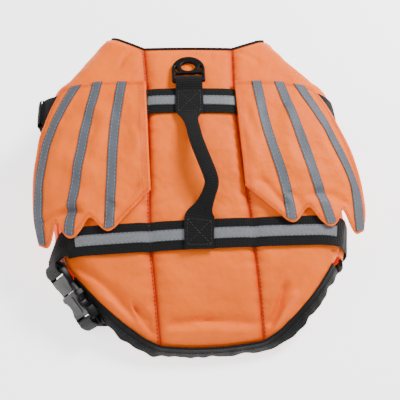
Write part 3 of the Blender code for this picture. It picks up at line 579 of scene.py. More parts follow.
def blank(name, roughness, **more):
    """A material with a plain shader, its tree and the shader."""
    look = bpy.data.materials.new(name)
    look.use_nodes = True
    shader = look.node_tree.nodes["Principled BSDF"]
    shader.inputs["Roughness"].default_value = roughness
    for key, value in more.items():
        shader.inputs[key.replace("_", " ")].default_value = value
    return look, look.node_tree, shader


def mixed(tree, share, first, second):
    return add(tree, "ShaderNodeMix", {0: share, 6: first, 7: second},
               data_type="RGBA").outputs[2]


def ranged(tree, value, low, high, to_low=0.0, to_high=1.0):
    return add(tree, "ShaderNodeMapRange",
               {0: value, 1: low, 2: high, 3: to_low, 4: to_high}).outputs[0]


def on_cloth(tree):
    """Places on the flat cloth, in metres."""
    return add(tree, "ShaderNodeUVMap", {}, uv_map="cloth").outputs[0]


def in_space(tree):
    return add(tree, "ShaderNodeTexCoord", {}).outputs["Object"]


def waves(tree, place, pitch, direction="X"):
    """Threads or ribs of a pitch in metres along one direction of the cloth."""
    return add(tree, "ShaderNodeTexWave", {"Vector": place, "Scale": math.pi / (10 * pitch)},
               wave_type="BANDS", bands_direction=direction).outputs["Fac"]


def noise(tree, place, size, detail=2.0):
    return add(tree, "ShaderNodeTexNoise",
               {"Vector": place, "Scale": 1 / size, "Detail": detail}).outputs["Fac"]


def product(tree, first, second, operation="MULTIPLY"):
    return add(tree, "ShaderNodeMath", {0: first, 1: second}, operation=operation).outputs[0]


def bumped(tree, shader, *layers):
    """Bump from layers of (height, metres)."""
    normal = None
    for height, distance in layers:
        inputs = {"Height": height, "Distance": distance, "Strength": 1.0}
        if normal is not None:
            inputs["Normal"] = normal
        normal = add(tree, "ShaderNodeBump", inputs).outputs["Normal"]
    tree.links.new(normal, shader.inputs["Normal"])


def oxford_nylon(name, bright, deep):
    """Coated nylon oxford: plain-woven, a soft satin sheen, faint cloudiness where the coating
    varies, and painted shade: a deeper tone in the valleys where the cloth is pulled down and at
    its rounded edges."""
    look, tree, shader = blank(name, 0.56, Specular_IOR_Level=0.16)
    cloth = on_cloth(tree)
    place = in_space(tree)
    # Real threads lie 0.35 mm apart, too fine to show: drawn 1.0 mm apart.
    warp, weft = waves(tree, cloth, 0.0010, "X"), waves(tree, cloth, 0.0010, "Y")
    weave = product(tree, warp, weft)
    cloud = noise(tree, place, 0.045, 3.0)
    slub = noise(tree, place, 0.004, 2.0)
    # Each point's share of painted shade, carried on the mesh.
    painted_shade = add(tree, "ShaderNodeAttribute", {}, attribute_name="painted_shade").outputs["Fac"]
    base = mixed(tree, ranged(tree, cloud, 0.35, 0.65, 0.0, 0.16), linear(bright), linear(deep))
    base = mixed(tree, ranged(tree, weave, 0.0, 1.0, 0.10, 0.0), base, linear(deep))
    # Painted shade: the cloth turns to its deep colour by that share.
    base = mixed(tree, painted_shade, base, linear(deep))
    tree.links.new(base, shader.inputs["Base Color"])
    bumped(tree, shader, (noise(tree, place, 0.020, 2.5), 0.0032), (slub, 0.00022),
           (weave, 0.00007))
    return look


def webbing(name, colour):
    """Woven nylon webbing: matt black with fine ribs across it and a firm selvedge."""
    look, tree, shader = blank(name, 0.78, Specular_IOR_Level=0.18, Sheen_Weight=0.04,
                               Sheen_Roughness=0.6)
    cloth = on_cloth(tree)
    # Real ribs are 1.3 mm apart, drawn 2.2 mm apart so that they show.
    ribs = waves(tree, cloth, 0.0022, "X")
    cords = waves(tree, cloth, 0.0016, "Y")
    weave = product(tree, ribs, cords)
    fuzz = noise(tree, in_space(tree), 0.006, 3.0)
    lit = mixed(tree, ranged(tree, weave, 0.0, 1.0, 0.0, 0.55), linear(colour), linear("#19191B"))
    base = mixed(tree, ranged(tree, fuzz, 0.4, 0.7, 0.0, 0.2), lit, linear("#020203"))
    tree.links.new(base, shader.inputs["Base Color"])
    bumped(tree, shader, (weave, 0.0004), (fuzz, 0.0002))
    return look


def grosgrain(name, colour):
    """Folded binding tape of ribbed polyester: black, a little brighter on its ribs."""
    look, tree, shader = blank(name, 0.7, Specular_IOR_Level=0.2, Sheen_Weight=0.05,
                               Sheen_Roughness=0.5)
    cloth = on_cloth(tree)
    ribs = waves(tree, cloth, 0.0019, "X")
    pull = noise(tree, in_space(tree), 0.008, 3.0)
    base = mixed(tree, ranged(tree, ribs, 0.0, 1.0, 0.0, 0.35), linear(colour), linear("#0C0C0D"))
    tree.links.new(base, shader.inputs["Base Color"])
    bumped(tree, shader, (pull, 0.0010), (ribs, 0.0002))
    return look


def reflective_tape(name, colour, dark, width):
    """Woven reflective tape: glass-beaded grey with a fine grid and a darker woven edge."""
    look, tree, shader = blank(name, 0.55, Specular_IOR_Level=0.4, Metallic=0.15)
    cloth = on_cloth(tree)
    grid = product(tree, waves(tree, cloth, 0.0011, "X"), waves(tree, cloth, 0.0011, "Y"))
    across = add(tree, "ShaderNodeSeparateXYZ", {"Vector": cloth}).outputs[1]
    away = product(tree, across, 0.0, "ABSOLUTE")
    edge = ranged(tree, away, 0.33 * width * MM, 0.43 * width * MM)
    spot = noise(tree, in_space(tree), 0.0022, 2.0)
    base = mixed(tree, ranged(tree, grid, 0.0, 1.0, 0.35, 0.0), linear(colour), linear(dark))
    base = mixed(tree, ranged(tree, spot, 0.35, 0.65, 0.0, 0.25), base, linear(dark))
    base = mixed(tree, product(tree, edge, 0.9), base, linear(dark))
    tree.links.new(base, shader.inputs["Base Color"])
    bumped(tree, shader, (grid, 0.00012), (spot, 0.00008))
    return look


def acetal(name, colour):
    """Injection-moulded acetal: black, satin, with a faint grained skin."""
    look, tree, shader = blank(name, 0.4, Specular_IOR_Level=0.22, IOR=1.48)
    place = in_space(tree)
    grain = noise(tree, place, 0.0009, 2.0)
    rub = noise(tree, place, 0.012, 4.0)
    base = mixed(tree, ranged(tree, rub, 0.45, 0.7, 0.0, 0.35), linear(colour), linear("#151517"))
    tree.links.new(base, shader.inputs["Base Color"])
    tree.links.new(ranged(tree, rub, 0.3, 0.7, 0.36, 0.52), shader.inputs["Roughness"])
    bumped(tree, shader, (grain, 0.00004))
    return look


def sewing_thread(name, colour):
    """Bonded polyester thread: a plain twisted yarn with a slight gloss."""
    look, tree, shader = blank(name, 0.45, Specular_IOR_Level=0.4)
    place = in_space(tree)
    twist = noise(tree, place, 0.0012, 1.0)
    base = mixed(tree, ranged(tree, twist, 0.3, 0.7, 0.0, 0.4), linear(colour), linear("#101010"))
    tree.links.new(base, shader.inputs["Base Color"])
    return look


def glowing(name, colour, strength):
    """White acrylic sweep lit from below, which leaves next to no shadow round the garment."""
    look, _, shader = blank(name, 0.9, Emission_Strength=strength, Specular_IOR_Level=0.0)
    shader.inputs["Base Color"].default_value = linear(colour)
    shader.inputs["Emission Color"].default_value = linear(colour)
    return look


# ---------------------------------------------------------------- settings
class LIFEJACKET_Settings(bpy.types.PropertyGroup):
    cloth: bpy.props.StringProperty(
        name="Cloth", description="Colour of the nylon cloth", default="#FF7000")
    cloth_deep: bpy.props.StringProperty(
        # The deep colour gives the cloth its uneven tone and weave, and also its painted shade.
        name="Deep cloth", description="Colour of the cloth in its valleys", default="#BE2E00")
    lining: bpy.props.StringProperty(
        name="Black", description="Colour of the webbing and bindings", default="#060607")
    tape: bpy.props.StringProperty(
        name="Tape", description="Colour of the reflective tape", default="#7C7E83")
    tape_dark: bpy.props.StringProperty(
        name="Tape's weave", description="Darker colour in the tape's weave", default="#3E4248")
    cell: bpy.props.FloatProperty(
        name="Mesh size", description="Spacing of the cloth's points", default=0.0022,
        min=0.001, max=0.02, unit="LENGTH")
    stitch: bpy.props.FloatProperty(
        name="Stitch", description="Length of a lockstitch", default=0.0036,
        min=0.001, max=0.01, unit="LENGTH")


def settings():
    """The sidebar's values for this scene."""
    return bpy.context.scene.life_jacket


LOOKS = {}


def looks():
    """The jacket's materials, made once."""
    if not LOOKS:
        s = settings()
        LOOKS["cloth"] = oxford_nylon("orange_nylon_oxford", s.cloth, s.cloth_deep)
        LOOKS["webbing"] = webbing("black_nylon_webbing", s.lining)
        LOOKS["binding"] = grosgrain("black_grosgrain_binding", s.lining)
        LOOKS["stripe"] = reflective_tape("reflective_tape_9mm", "#5A5F68", s.tape_dark, 9.4)
        LOOKS["tape"] = reflective_tape("reflective_tape_10mm", s.tape, s.tape_dark, 10.5)
        LOOKS["acetal"] = acetal("black_acetal", "#050506")
        LOOKS["orange_thread"] = sewing_thread("orange_thread", "#E86A14")
        LOOKS["seam_thread"] = sewing_thread("seam_thread", "#6E1C04")
        LOOKS["grey_thread"] = sewing_thread("grey_thread", "#8A8E94")
        LOOKS["black_thread"] = sewing_thread("black_thread", "#1C1C1E")
    return LOOKS


def steps(length):
    """How many points of the cloth's mesh a length in millimetres takes."""
    return max(2, int(length / (settings().cell / MM)))


def run_length(line):
    """Length of a line of points, in metres: what the cloth along it measured when it was cut."""
    return round(float(np.linalg.norm(np.diff(line, axis=0), axis=1).sum()) * MM, 4)


# ---------------------------------------------------------------- padded back
CENTRE_SIZE = (277, 88)     # how long and how wide the middle channel's cloth is, on its grid
SIDE_SIZE = (300, 90)       # and a side channel's


def back_grid(side):
    """Girths and y of a channel's grid."""
    if side == 0:
        part = spaced(0, 1, steps(CENTRE_SIZE[0]))[:, None]
        column = spaced(0, 1, steps(CENTRE_SIZE[1]))[None, :]
        share = 2 * column - 1
        hem = HEM_Y - HEM_BOW * (1 - share ** 2)
        y = hem + part * (NECK_Y - hem)
        s = share * (seam(y) - 0.5 * GAP)
        return s, y
    part = spaced(0, 1, steps(SIDE_SIZE[0]))
    edge, edge_y = side_edge(side, part)
    seam_y = HEM_Y + (NECK_Y - HEM_Y) * part
    start = seam(seam_y) + 0.5 * GAP
    column = spaced(0, 1, steps(SIDE_SIZE[1]))[None, :]
    s = start[:, None] + (edge - start)[:, None] * column
    y = seam_y[:, None] + (edge_y - seam_y)[:, None] * column
    return side * s, y


def build_back(name, side):
    """One foam channel, with painted shade in its seams and at its borders."""
    s, y = back_grid(side)
    share = puff(s, y)
    outside = skin(s, y, back_rise(s, y))
    inside = skin(s, y, -WALL - PUFF_IN * share - share * waved(s, y, LINING_WAVES))
    # Painted shade: darkest along the seams, and darker where the channel rounds off at its
    # borders.
    painted_shade = 0.9 * np.exp(-np.abs(np.abs(s) - seam(y)) / 2.2) + 0.3 * (1 - share) ** 3
    made = shell(name + "_padding", outside, inside, looks()["cloth"], np.stack([s, y], -1), painted_shade)
    put(made, name)


class LIFEJACKET_OT_back(bpy.types.Operator):
    """Makes the back's three foam channels, with their puckered seams"""
    bl_idname = "life_jacket.back"
    bl_label = "Padded Back"

    def execute(self, context):
        for name, side in (("back_centre", 0), ("back_left", -1), ("back_right", 1)):
            build_back(name, side)
        rows = []
        for side in (-1, 1):
            y = spaced(HEM_Y + 2, NECK_Y - 1.5, 180)
            s = side * (seam(y) + 1.4)
            line = skin(s, y, back_rise(s, y) + 0.15)
            rows.append((line, skin_normal(s, y)))
        seams = stitches("back_seam_stitches", rows, looks()["seam_thread"],
                         settings().stitch / MM, *HEAVY_STITCH)
        put(seams, "back_centre", stands_for=False)
        return {"FINISHED"}


# ---------------------------------------------------------------- belly flaps and throat tabs
TAB = (
    ( 80.0, 207.0, 210.0),
    ( 97.0, 190.0, 210.0),
    (120.0, 181.0, 207.0),
    (150.0, 175.0, 202.0),
    (190.0, 171.0, 198.0),
    (330.0, 169.0, 196.0),
)
TAB_LAP = 22.0
TAB_START = (98.0, 81.0)
# On the flaps and the throat tabs, by the distance below the top edge and along it.
#     down0  along0 down1  along1 width rise
FLAP_CREASES = {
    -1: ((6.0, 26.0, 62.0, 42.0, 5.0, -1.7), (10.0, 68.0, 66.0, 58.0, 6.0, 1.1),
         (8.0, 106.0, 64.0, 92.0, 5.0, -1.6), (28.0, 8.0, 58.0, 26.0, 4.5, -1.2),
         (14.0, 128.0, 50.0, 138.0, 4.5, -1.0)),
    1: ((8.0, 34.0, 60.0, 46.0, 5.0, -1.6), (12.0, 74.0, 64.0, 66.0, 6.0, 1.0),
        (6.0, 100.0, 62.0, 90.0, 5.0, -1.7), (24.0, 12.0, 60.0, 24.0, 4.5, -1.1),
        (16.0, 134.0, 48.0, 126.0, 4.5, -1.0)),
}
TAB_CREASES = {
    -1: ((12.0, 4.0, 44.0, 20.0, 3.2, -1.1), (48.0, 22.0, 78.0, 8.0, 3.2, 0.8)),
    1: ((16.0, 22.0, 46.0, 6.0, 3.2, -1.1), (50.0, 5.0, 82.0, 19.0, 3.2, 0.8)),
}
FLAP_GIRTH = 232.0      # from under the channel round to the lap's end, as cut
FLAP_LENGTH = 150.0
TAB_GIRTH = 190.0
TAB_WIDTH = 27.0


def lap_rise(side, s, lap, y):
    """The left piece lies inside the right one where they lap."""
    start = belly_s(lap + LAP_STEP + LAP_CLEAR, y)
    return (side < 0) * (WALL + GAP) * smooth_step((s - start) / LAP_STEP)


def hanging(s, start, y):
    """Share of a piece's own waves: none at its seam, and none under the body."""
    foot = section_lengths(y)[3]
    return smooth_step((foot - 12.0 - s) / 25.0) * smooth_step((s - start) / 10.0)


def belly_cloth(name, side, s, y, out):
    """A wall of cloth on the tube; gives it back with its outer grid."""
    outside = skin(side * s, y, out)
    made = shell(name + "_cloth", outside, skin(side * s, y, out - WALL), looks()["cloth"],
                 np.stack(np.broadcast_arrays(s, y), -1))
    put(made, name)
    return made, outside


def build_flap(name, side):
    """One belly flap; the belts hold it flat."""
    part = spaced(FLAP_STEPS[0] / EDGE_STEPS, FLAP_STEPS[1] / EDGE_STEPS, steps(FLAP_LENGTH))
    edge, level = through(SIDE_EDGE, part)
    level = level[:, None]
    column = spaced(0, 1, steps(FLAP_GIRTH))[None, :]
    start = (edge + GAP)[:, None]
    s = start + (belly_s(-FLAP_LAP, level) - start) * column
    along = np.linspace(0.0, FLAP_LENGTH, len(part))[:, None]
    wave = (waved(s, level, FLAP_WAVES, side)
            + creases(s - start, along, FLAP_CREASES[side]))
    belted = sum(np.exp(-((level - place) / (half + 3.0)) ** 4) for place, half in BELTS)
    wave = wave * hanging(s, start, level) * (1 - np.minimum(belted, 1.0))
    made, outside = belly_cloth(name, side, s, level, wave - lap_rise(side, s, FLAP_LAP, level))


def build_tab(name, side):
    """One throat tab."""
    across = spaced(0, 1, steps(TAB_WIDTH))[:, None]
    column = spaced(0, 1, steps(TAB_GIRTH))[None, :]
    level = TAB[-1][1] + (TAB[-1][2] - TAB[-1][1]) * across
    start = TAB_START[0] + (TAB_START[1] - TAB_START[0]) * across
    s = start + (belly_s(-TAB_LAP, level) - start) * column
    rear, front = through(TAB, s)
    ahead = through(LEFT_AHEAD, s)[0] if side < 0 else 0.0
    ahead = ahead * (1 - 0.5 * across * smooth_step((s - 85.0) / 20.0))
    y = rear + (front - rear) * across + ahead
    wave = (waved(s, y, TAB_WAVES, side)
            + creases(s - start, TAB_WIDTH * across, TAB_CREASES[side]))
    made, outside = belly_cloth(name, side, s, y, wave * hanging(s, start, level)
                                - lap_rise(side, s, TAB_LAP, level))


class LIFEJACKET_OT_belly(bpy.types.Operator):
    """Makes the belly flaps and the throat tabs, which lap under the body"""
    bl_idname = "life_jacket.belly"
    bl_label = "Belly Flaps and Throat Tabs"

    def execute(self, context):
        for word, side in (("left", -1), ("right", 1)):
            build_flap("flap_" + word, side)
            build_tab("throat_tab_" + word, side)
        return {"FINISHED"}


# ---------------------------------------------------------------- wings
WEB_WIDTH, WEB_THICK = 26.0, 1.2
TAPE_WIDTH, TAPE_THICK = 10.0, 0.5
CHEST_STACK = PUFF + GAP + WEB_THICK + 0.9  # a wing lies over the chest belt
WAIST_STACK = CHEST_STACK + 1.1             # and over the waist belt and its tape
WING_WALL = 1.8
WING_SIZE = (140, 170)      # the grid's length down a wing and its width
WING_ROOT = 42.5
WING_TOP_Y = 147.0
WING_REACH = 80.0      # the overhang's curve: its reach and its depth
WING_DROP = 72.0
WING_TOP = ((0.0, WING_ROOT, 147.0), (0.5, 84.0, 148.0), (1.0, 121.0, 143.0))
WING_OUTER = (
    (0.00, 121.0, 143.0),
    (0.15, 135.0, 121.0),
    (0.32, 146.5, 94.0),
    (0.55, 153.0, 58.0),
    (0.80, 152.5, 24.0),
    (1.00, 146.5, 3.0),
)
WING_ROOT_END = 40.0
WING_LOWER = (
    (0.00,  42.5, 40.0),
    (0.25,  71.0, 13.0),
    (0.31,  76.0,  8.5),
    (0.36,  81.5,  6.5),
    (0.41,  86.5,  9.0),
    (0.50,  97.0, 19.0),
    (0.57, 105.5,  8.5),
    (0.63, 111.5,  3.5),
    (0.68, 117.0,  3.5),
    (0.74, 122.0,  8.0),
    (0.81, 128.5, 18.0),
    (0.89, 134.5,  3.5),
    (0.94, 138.5, -1.0),
    (1.00, 146.5,  3.0),
)
# How far each wing's outer edge is drawn in by its stitching, from its top to its tips.
WING_DRAWN = {
    -1: ((0.0, 0.0), (0.15, 2.0), (0.5, 3.0), (0.85, 3.0), (1.0, 2.0)),
    1: ((0.0, 6.0), (0.15, 7.5), (0.35, 6.0), (0.6, 3.0), (0.85, 1.0), (1.0, 0.0)),
}
# Middle lines of the reflective stripes on each wing, as they were sewn.
#      y    inner  middle  outer
STRIPES = {
    -1: ((-2.0, 80.5, 115.5, 141.5), (6.0, 80.5, 115.5, 142.0), (40.0, 77.5, 110.5, 144.0),
         (95.0, 72.5, 99.5, 132.5), (148.0, 64.0, 87.0, 105.5)),
    1: ((-2.0, 80.5, 115.0, 141.5), (6.0, 80.5, 115.0, 142.0), (40.0, 78.0, 107.0, 142.0),
        (95.0, 67.5, 96.0, 125.0), (148.0, 62.0, 83.5, 100.5)),
}
STRIPE_WIDTH = 9.0
STRIPE_THICK = 0.6
STRIPE_INSET = 1.6     # from the wing's edges to the stripe's ends


def wing_height(x, y):
    """Height of a wing's underside over the tube; past the tube's side it hangs free."""
    half, height, round_x, _, crown, _ = through(BODY, y)
    top = half - round_x - 4.0
    z = height - crown * (np.minimum(x, top) / (top + 4.0)) ** 2
    z = z + WAIST_STACK + (CHEST_STACK - WAIST_STACK) * smooth_step((y - 15.0) / 30.0)
    return z - WING_DROP * (1 - np.sqrt(1 - np.clip((x - top) / WING_REACH, 0, 1) ** 2))


def wing_rise(side, x, y):
    """The wing's creases; where it lies on a belt it can only stand up from it."""
    rise = 2.4 * creases(x, y, WING_CREASES[side]) + waved(x, y, WING_WAVES, side)
    lain = np.maximum(smooth_step((y - 104.0) / 10.0), smooth_step((18.0 - y) / 8.0))
    rise = rise * smooth_step((x - WING_ROOT) / 9.0)
    return np.where(rise < 0, rise * (1 - 0.7 * lain), rise)


def wing_point(side, x, y, out=0.0):
    """A point at out over a wing's underside, along the wing's normal."""
    x, y, out = np.broadcast_arrays(*(np.asarray(v, float) for v in (x, y, out)))
    step = 0.5
    slope_x = (wing_height(x + step, y) - wing_height(x - step, y)) / (2 * step)
    slope_y = (wing_height(x, y + step) - wing_height(x, y - step)) / (2 * step)
    size = np.sqrt(1 + slope_x ** 2 + slope_y ** 2)
    out = out + wing_rise(side, x, y)
    return placed(side * (x - slope_x / size * out), y - slope_y / size * out,
                  wing_height(x, y) + out / size)


def wing_plan(side, u, v):
    """Place on a wing's plan: u from its root to its outer edge, v from its top to its tips."""
    u, v = np.broadcast_arrays(np.asarray(u, float), np.asarray(v, float))
    top, low, outer = through(WING_TOP, u), through(WING_LOWER, u), through(WING_OUTER, v)
    root = (WING_ROOT + 0 * v, WING_TOP_Y + (WING_ROOT_END - WING_TOP_Y) * v)
    place = []
    for k in range(2):
        corners = ((1 - u) * (1 - v) * WING_TOP[0][k + 1] + u * (1 - v) * WING_TOP[-1][k + 1]
                   + (1 - u) * v * WING_LOWER[0][k + 1] + u * v * WING_LOWER[-1][k + 1])
        place.append((1 - v) * top[k] + v * low[k] + (1 - u) * root[k] + u * outer[k] - corners)
    place[0] = place[0] - through(WING_DRAWN[side], v)[0] * smooth_step(2 * u - 1)
    return place[0], place[1]


def build_wing(name, side):
    """One scalloped wing, with painted shade along its folded edge and its root."""
    v, u = spaced(0, 1, steps(WING_SIZE[0]))[:, None], spaced(0, 1, steps(WING_SIZE[1]))[None, :]
    x, y = wing_plan(side, u, v)
    # Painted shade along the folded edge and at the root.
    edge = np.minimum(np.minimum(1 - u, 1 - v), v) * 120.0
    painted_shade = 0.45 * np.exp(-((edge - 3.0) / 1.6) ** 2) + 0.3 * np.exp(-((x - 46.2) / 2.5) ** 2)
    made = shell(name + "_cloth", wing_point(side, x, y, WING_WALL), wing_point(side, x, y, 0.0),
                 looks()["cloth"], np.stack([x, y], -1), painted_shade)
    put(made, name)


def on_wing(side, x, y, out):
    """A stitch row on a wing: its points and its outward directions."""
    return (wing_point(side, x, y, out),
            wing_point(side, x, y, out + 1.0) - wing_point(side, x, y, out))


def build_stripe(name, side, column):
    """A stripe that runs from just under the wing's top edge to its tip, cut to their slant."""
    fine = np.linspace(0, 1, 300)
    low_x, low_y = wing_plan(side, fine, 1.0)
    top_x, top_y = wing_plan(side, fine, 0.0)
    out_x, out_y = wing_plan(side, 1.0, fine)
    share = np.linspace(-0.5, 0.5, 7)[None, :]
    part = spaced(0, 1, steps(150))[:, None]
    low_at, top_at = (through(STRIPES[side], y)[column] + share * STRIPE_WIDTH
                      for y in (6.0, 146.0))
    low = np.interp(low_at, low_x, low_y) + STRIPE_INSET
    top = np.interp(top_at, top_x, top_y) - STRIPE_INSET
    y = low + (top - low) * part
    x = through(STRIPES[side], y)[column] + share * STRIPE_WIDTH
    x = np.minimum(x, np.interp(y, out_y[::-1], out_x[::-1]) - 0.9 + 0.3 * share)
    base = WING_WALL + 0.2
    cloth = np.stack(np.broadcast_arrays(y, share * STRIPE_WIDTH), -1)
    made = shell(name + "_tape", wing_point(side, x, y, base + STRIPE_THICK),
                 wing_point(side, x, y, base), looks()["stripe"], cloth, fold=0.2)
    put(made, name)
    length = run_length(wing_point(side, x[:, 3], y[:, 3], base))
    return [on_wing(side, x[:, k], y[:, k], base + STRIPE_THICK) for k in (1, 5)]


class LIFEJACKET_OT_wings(bpy.types.Operator):
    """Makes the scalloped wings, their reflective stripes and their topstitching"""
    bl_idname = "life_jacket.wings"
    bl_label = "Wings and Stripes"

    def execute(self, context):
        pitch = settings().stitch / MM
        for word, side in (("left", -1), ("right", 1)):
            build_wing("wing_" + word, side)
            taped = []
            for column, place in enumerate(("inner", "middle", "outer")):
                taped += build_stripe("wing_stripe_" + word + "_" + place, side, column)
            sewn = stitches("stripe_stitches_" + word, taped, looks()["grey_thread"], pitch,
                            *FINE_STITCH)
            put(sewn, "wing_" + word, stands_for=False)
            run = np.linspace(0, 1, 300)
            inset, none = 0.024, 0 * run
            rows = []
            for shift in (1.6, 6.1) if side < 0 else (1.6,):
                level = np.linspace(WING_TOP_Y - 2.0, WING_ROOT_END - shift, 120)
                rows.append(on_wing(side, WING_ROOT + shift + 0 * level, level, WING_WALL))
            u = np.concatenate([0.03 + 0.94 * run, 0.97 + none, 0.97 - 0.94 * run])
            v = np.concatenate([inset + none, inset + (1 - 2 * inset) * run, 1 - inset + none])
            x, y = wing_plan(side, u, v)
            rows.append(on_wing(side, x, y, WING_WALL))
            made = stitches("wing_stitches_" + word, rows, looks()["orange_thread"], pitch)
            put(made, "wing_" + word, stands_for=False)
        return {"FINISHED"}


# ---------------------------------------------------------------- belts and their tapes
BELT_DIP = 1.5         # a belt is stitched down a little at the channels' seams
WAIST_TOP = (-131.3, -18.6, 38.5)     # the waist buckle's two ends, low on the left
WAIST_LOW = (-102.3, -59.1, 18.5)
WAIST_FACE = (-0.58, -0.76, 0.28)     # and the way its face looks
CHEST_TOP = (-147.5, CHEST_Y + 7.0, 62.0)
CHEST_LOW = (-147.5, CHEST_Y + 7.0, 9.0)
CHEST_FACE = (-1.0, 0.0, 0.0)
WAIST_RUN = ((104.0, 0.0), (80.0, 0.0), (50.0, -1.0), (20.0, -4.0), (-5.0, -9.0),
             (-30.0, -18.0), (-52.0, -30.0), (-66.0, -40.0))
CHEST_RUN = (97.0, 60.0, 20.0, -20.0, -60.0, -100.0, -126.0)
CHEST_DOWN = 1.2       # the chest belt lies this much nearer the tail than its sewing line
TURN_STEPS = 7
UPPER_PULL = 19.0      # how far the strap runs on before it bends, above the buckle
LOWER_PULL = 30.0      # and below it
CRUMPLE = 0.40         # share of its width that it loses in the turn


def belt_rise(s, y):
    """How far a belt's inner face lies out of the tube."""
    edge = edge_s(-1 if s < 0 else 1, y)
    over = PUFF * rounded(0.8 * (edge - abs(s) + 4.0))
    return GAP + over - BELT_DIP * math.exp(-((abs(s) - seam(y)) / 5.0) ** 2)


def station(middle, across, outward, width, thick):
    return np.concatenate([middle, across, outward, [width, thick]])


def belt_station(s, y, out, width, thick):
    along = unit(skin(s + 0.5, y, out) - skin(s - 0.5, y, out))
    across = skin(s, y - 4.0, out) - skin(s, y + 4.0, out)
    across = unit(across - along * across.dot(along))
    return station(skin(s, y, out + 0.5 * thick), across, np.cross(across, along), width, thick)


def belt_girths(start, end, y):
    """Girths over the back, with one on each seam's dip, and close together round the corners."""
    top, corner, side, foot = section_lengths(y)
    line = seam(y)
    right = np.concatenate([[0.0, 0.5 * line, line - 6.0, line, line + 6.0],
                            np.linspace(line + 14.0, top - 4.0, 4),
                            np.linspace(top + 3.0, corner, 7), [corner + 3.0, side],
                            np.linspace(side + 4.0, foot, 6)])
    both = np.concatenate([-right[:0:-1], right])
    return [s for s in both if start <= s <= end]


def face_frame(first, last, face):
    """Along, across and outward for something that runs from first to last and looks at face."""
    along, face = unit(np.subtract(last, first)), np.asarray(face, float)
    outward = unit(face - along * face.dot(along))
    return along, np.cross(along, outward), outward


def free_station(point, along, outward, width=WEB_WIDTH, thick=WEB_THICK):
    along, outward = unit(along), np.asarray(outward, float)
    outward = unit(outward - along * outward.dot(along))
    return station(np.asarray(point, float), np.cross(along, outward), outward, width, thick)


def turning(start, end, pull):
    """Stations of webbing that turns between two stations and crumples a little on its way."""
    first, first_across, first_out = start[:3], start[3:6], start[6:9]
    last, last_across, last_out = end[:3], end[3:6], end[6:9]
    first_way = unit(np.cross(first_out, first_across)) * pull
    last_way = unit(np.cross(last_out, last_across)) * pull
    made = []
    for i in range(1, TURN_STEPS):
        t = i / TURN_STEPS
        place = (first * (1 + 2 * t) * (1 - t) ** 2 + last * t * t * (3 - 2 * t)
                 + first_way * t * (1 - t) ** 2 - last_way * t * t * (1 - t))
        way = unit((last - first) * 6 * t * (1 - t) + first_way * (1 - t) * (1 - 3 * t)
                   + last_way * t * (3 * t - 2))
        across = first_across + (last_across - first_across) * t
        across = unit(across - way * across.dot(way))
        narrow = math.sin(math.pi * t)
        made.append(station(place, across, np.cross(across, way),
                            WEB_WIDTH * (1 - CRUMPLE * narrow), WEB_THICK * (1 + 2.0 * narrow)))
    return made


def waist_stations():
    """The waist belt, from the plug over the back and under the belly to the socket."""
    back, _, face = face_frame(WAIST_LOW, WAIST_TOP, WAIST_FACE)
    top, low = np.array(WAIST_TOP), np.array(WAIST_LOW)
    at_plug = free_station(top + back * 2.5, back, face)
    over = [belt_station(s, 0.0, belt_rise(s, 0.0), WEB_WIDTH, WEB_THICK)
            for s in belt_girths(-119.0, 186.0, 0.0)]
    made = [free_station(top - back * 5.0, back, face), at_plug]
    made += turning(at_plug, over[0], UPPER_PULL) + over
    for i, (x, y) in enumerate(WAIST_RUN):
        ahead = WAIST_RUN[min(i + 1, len(WAIST_RUN) - 1)]
        behind = WAIST_RUN[max(i - 1, 0)]
        made.append(free_station((x, y, 0.5 * WEB_THICK),
                                 (ahead[0] - behind[0], ahead[1] - behind[1], 0.0), (0, 0, -1)))
    at_socket = free_station(low - back * 2.5, back, face)
    made += turning(made[-1], at_socket, LOWER_PULL)
    return made + [at_socket, free_station(low + back * 5.0, back, face)]


def chest_stations():
    """The chest belt, the same way round."""
    level = CHEST_Y - CHEST_DOWN
    up = np.array((0.0, 0.0, 1.0))
    top, low = np.array(CHEST_TOP), np.array(CHEST_LOW)
    made = [free_station(top - up * 5.0, up, CHEST_FACE),
            free_station(top + (2.5, 0.0, 6.5), (0.5, 0.0, 1.0), CHEST_FACE)]
    made += [belt_station(s, level, belt_rise(s, level), WEB_WIDTH, WEB_THICK)
             for s in belt_girths(-124.0, 215.0, level)]
    made += [free_station((x, level - SKEW * x, 0.5 * WEB_THICK), (-1.0, SKEW, 0.0), (0, 0, -1))
             for x in CHEST_RUN]
    made.append(free_station((-137.5, CHEST_Y + 7.0, 1.6), (-1.0, 0.0, 0.25), (-0.2, 0.0, -1.0)))
    made.append(free_station((-145.0, CHEST_Y + 7.0, 4.6), (-0.6, 0.0, 0.8), (-0.8, 0.0, -0.6)))
    return made + [free_station(low + up * 5.0, up, CHEST_FACE)]


def on_ribbon(stations, share, out):
    """A stitch row along webbing, at a share of its width from its middle."""
    rows = np.asarray(stations)
    line = (rows[:, :3] + rows[:, 3:6] * rows[:, 9:10] * share
            + rows[:, 6:9] * (0.5 * rows[:, 10:11] + out))
    return line, rows[:, 6:9]


def across_belt(s, y, reach):
    """A stitch row across a belt at one girth."""
    levels = np.linspace(y - reach, y + reach, 12)
    out = belt_rise(s, y) + WEB_THICK + 0.1
    return skin(s, levels, out), skin_normal(s, levels)


# A belt's end, turned round a buckle's bar: distance past the buckle's end, and out of its
# middle.
BAR_LOOP = ((-7.0, 0.7), (-4.5, 2.6), (-1.5, 3.9), (1.6, 4.0), (3.9, 2.8), (4.5, 0.0),
            (3.9, -2.8), (1.6, -4.0), (-1.5, -3.9), (-4.5, -2.6), (-7.0, -0.7))


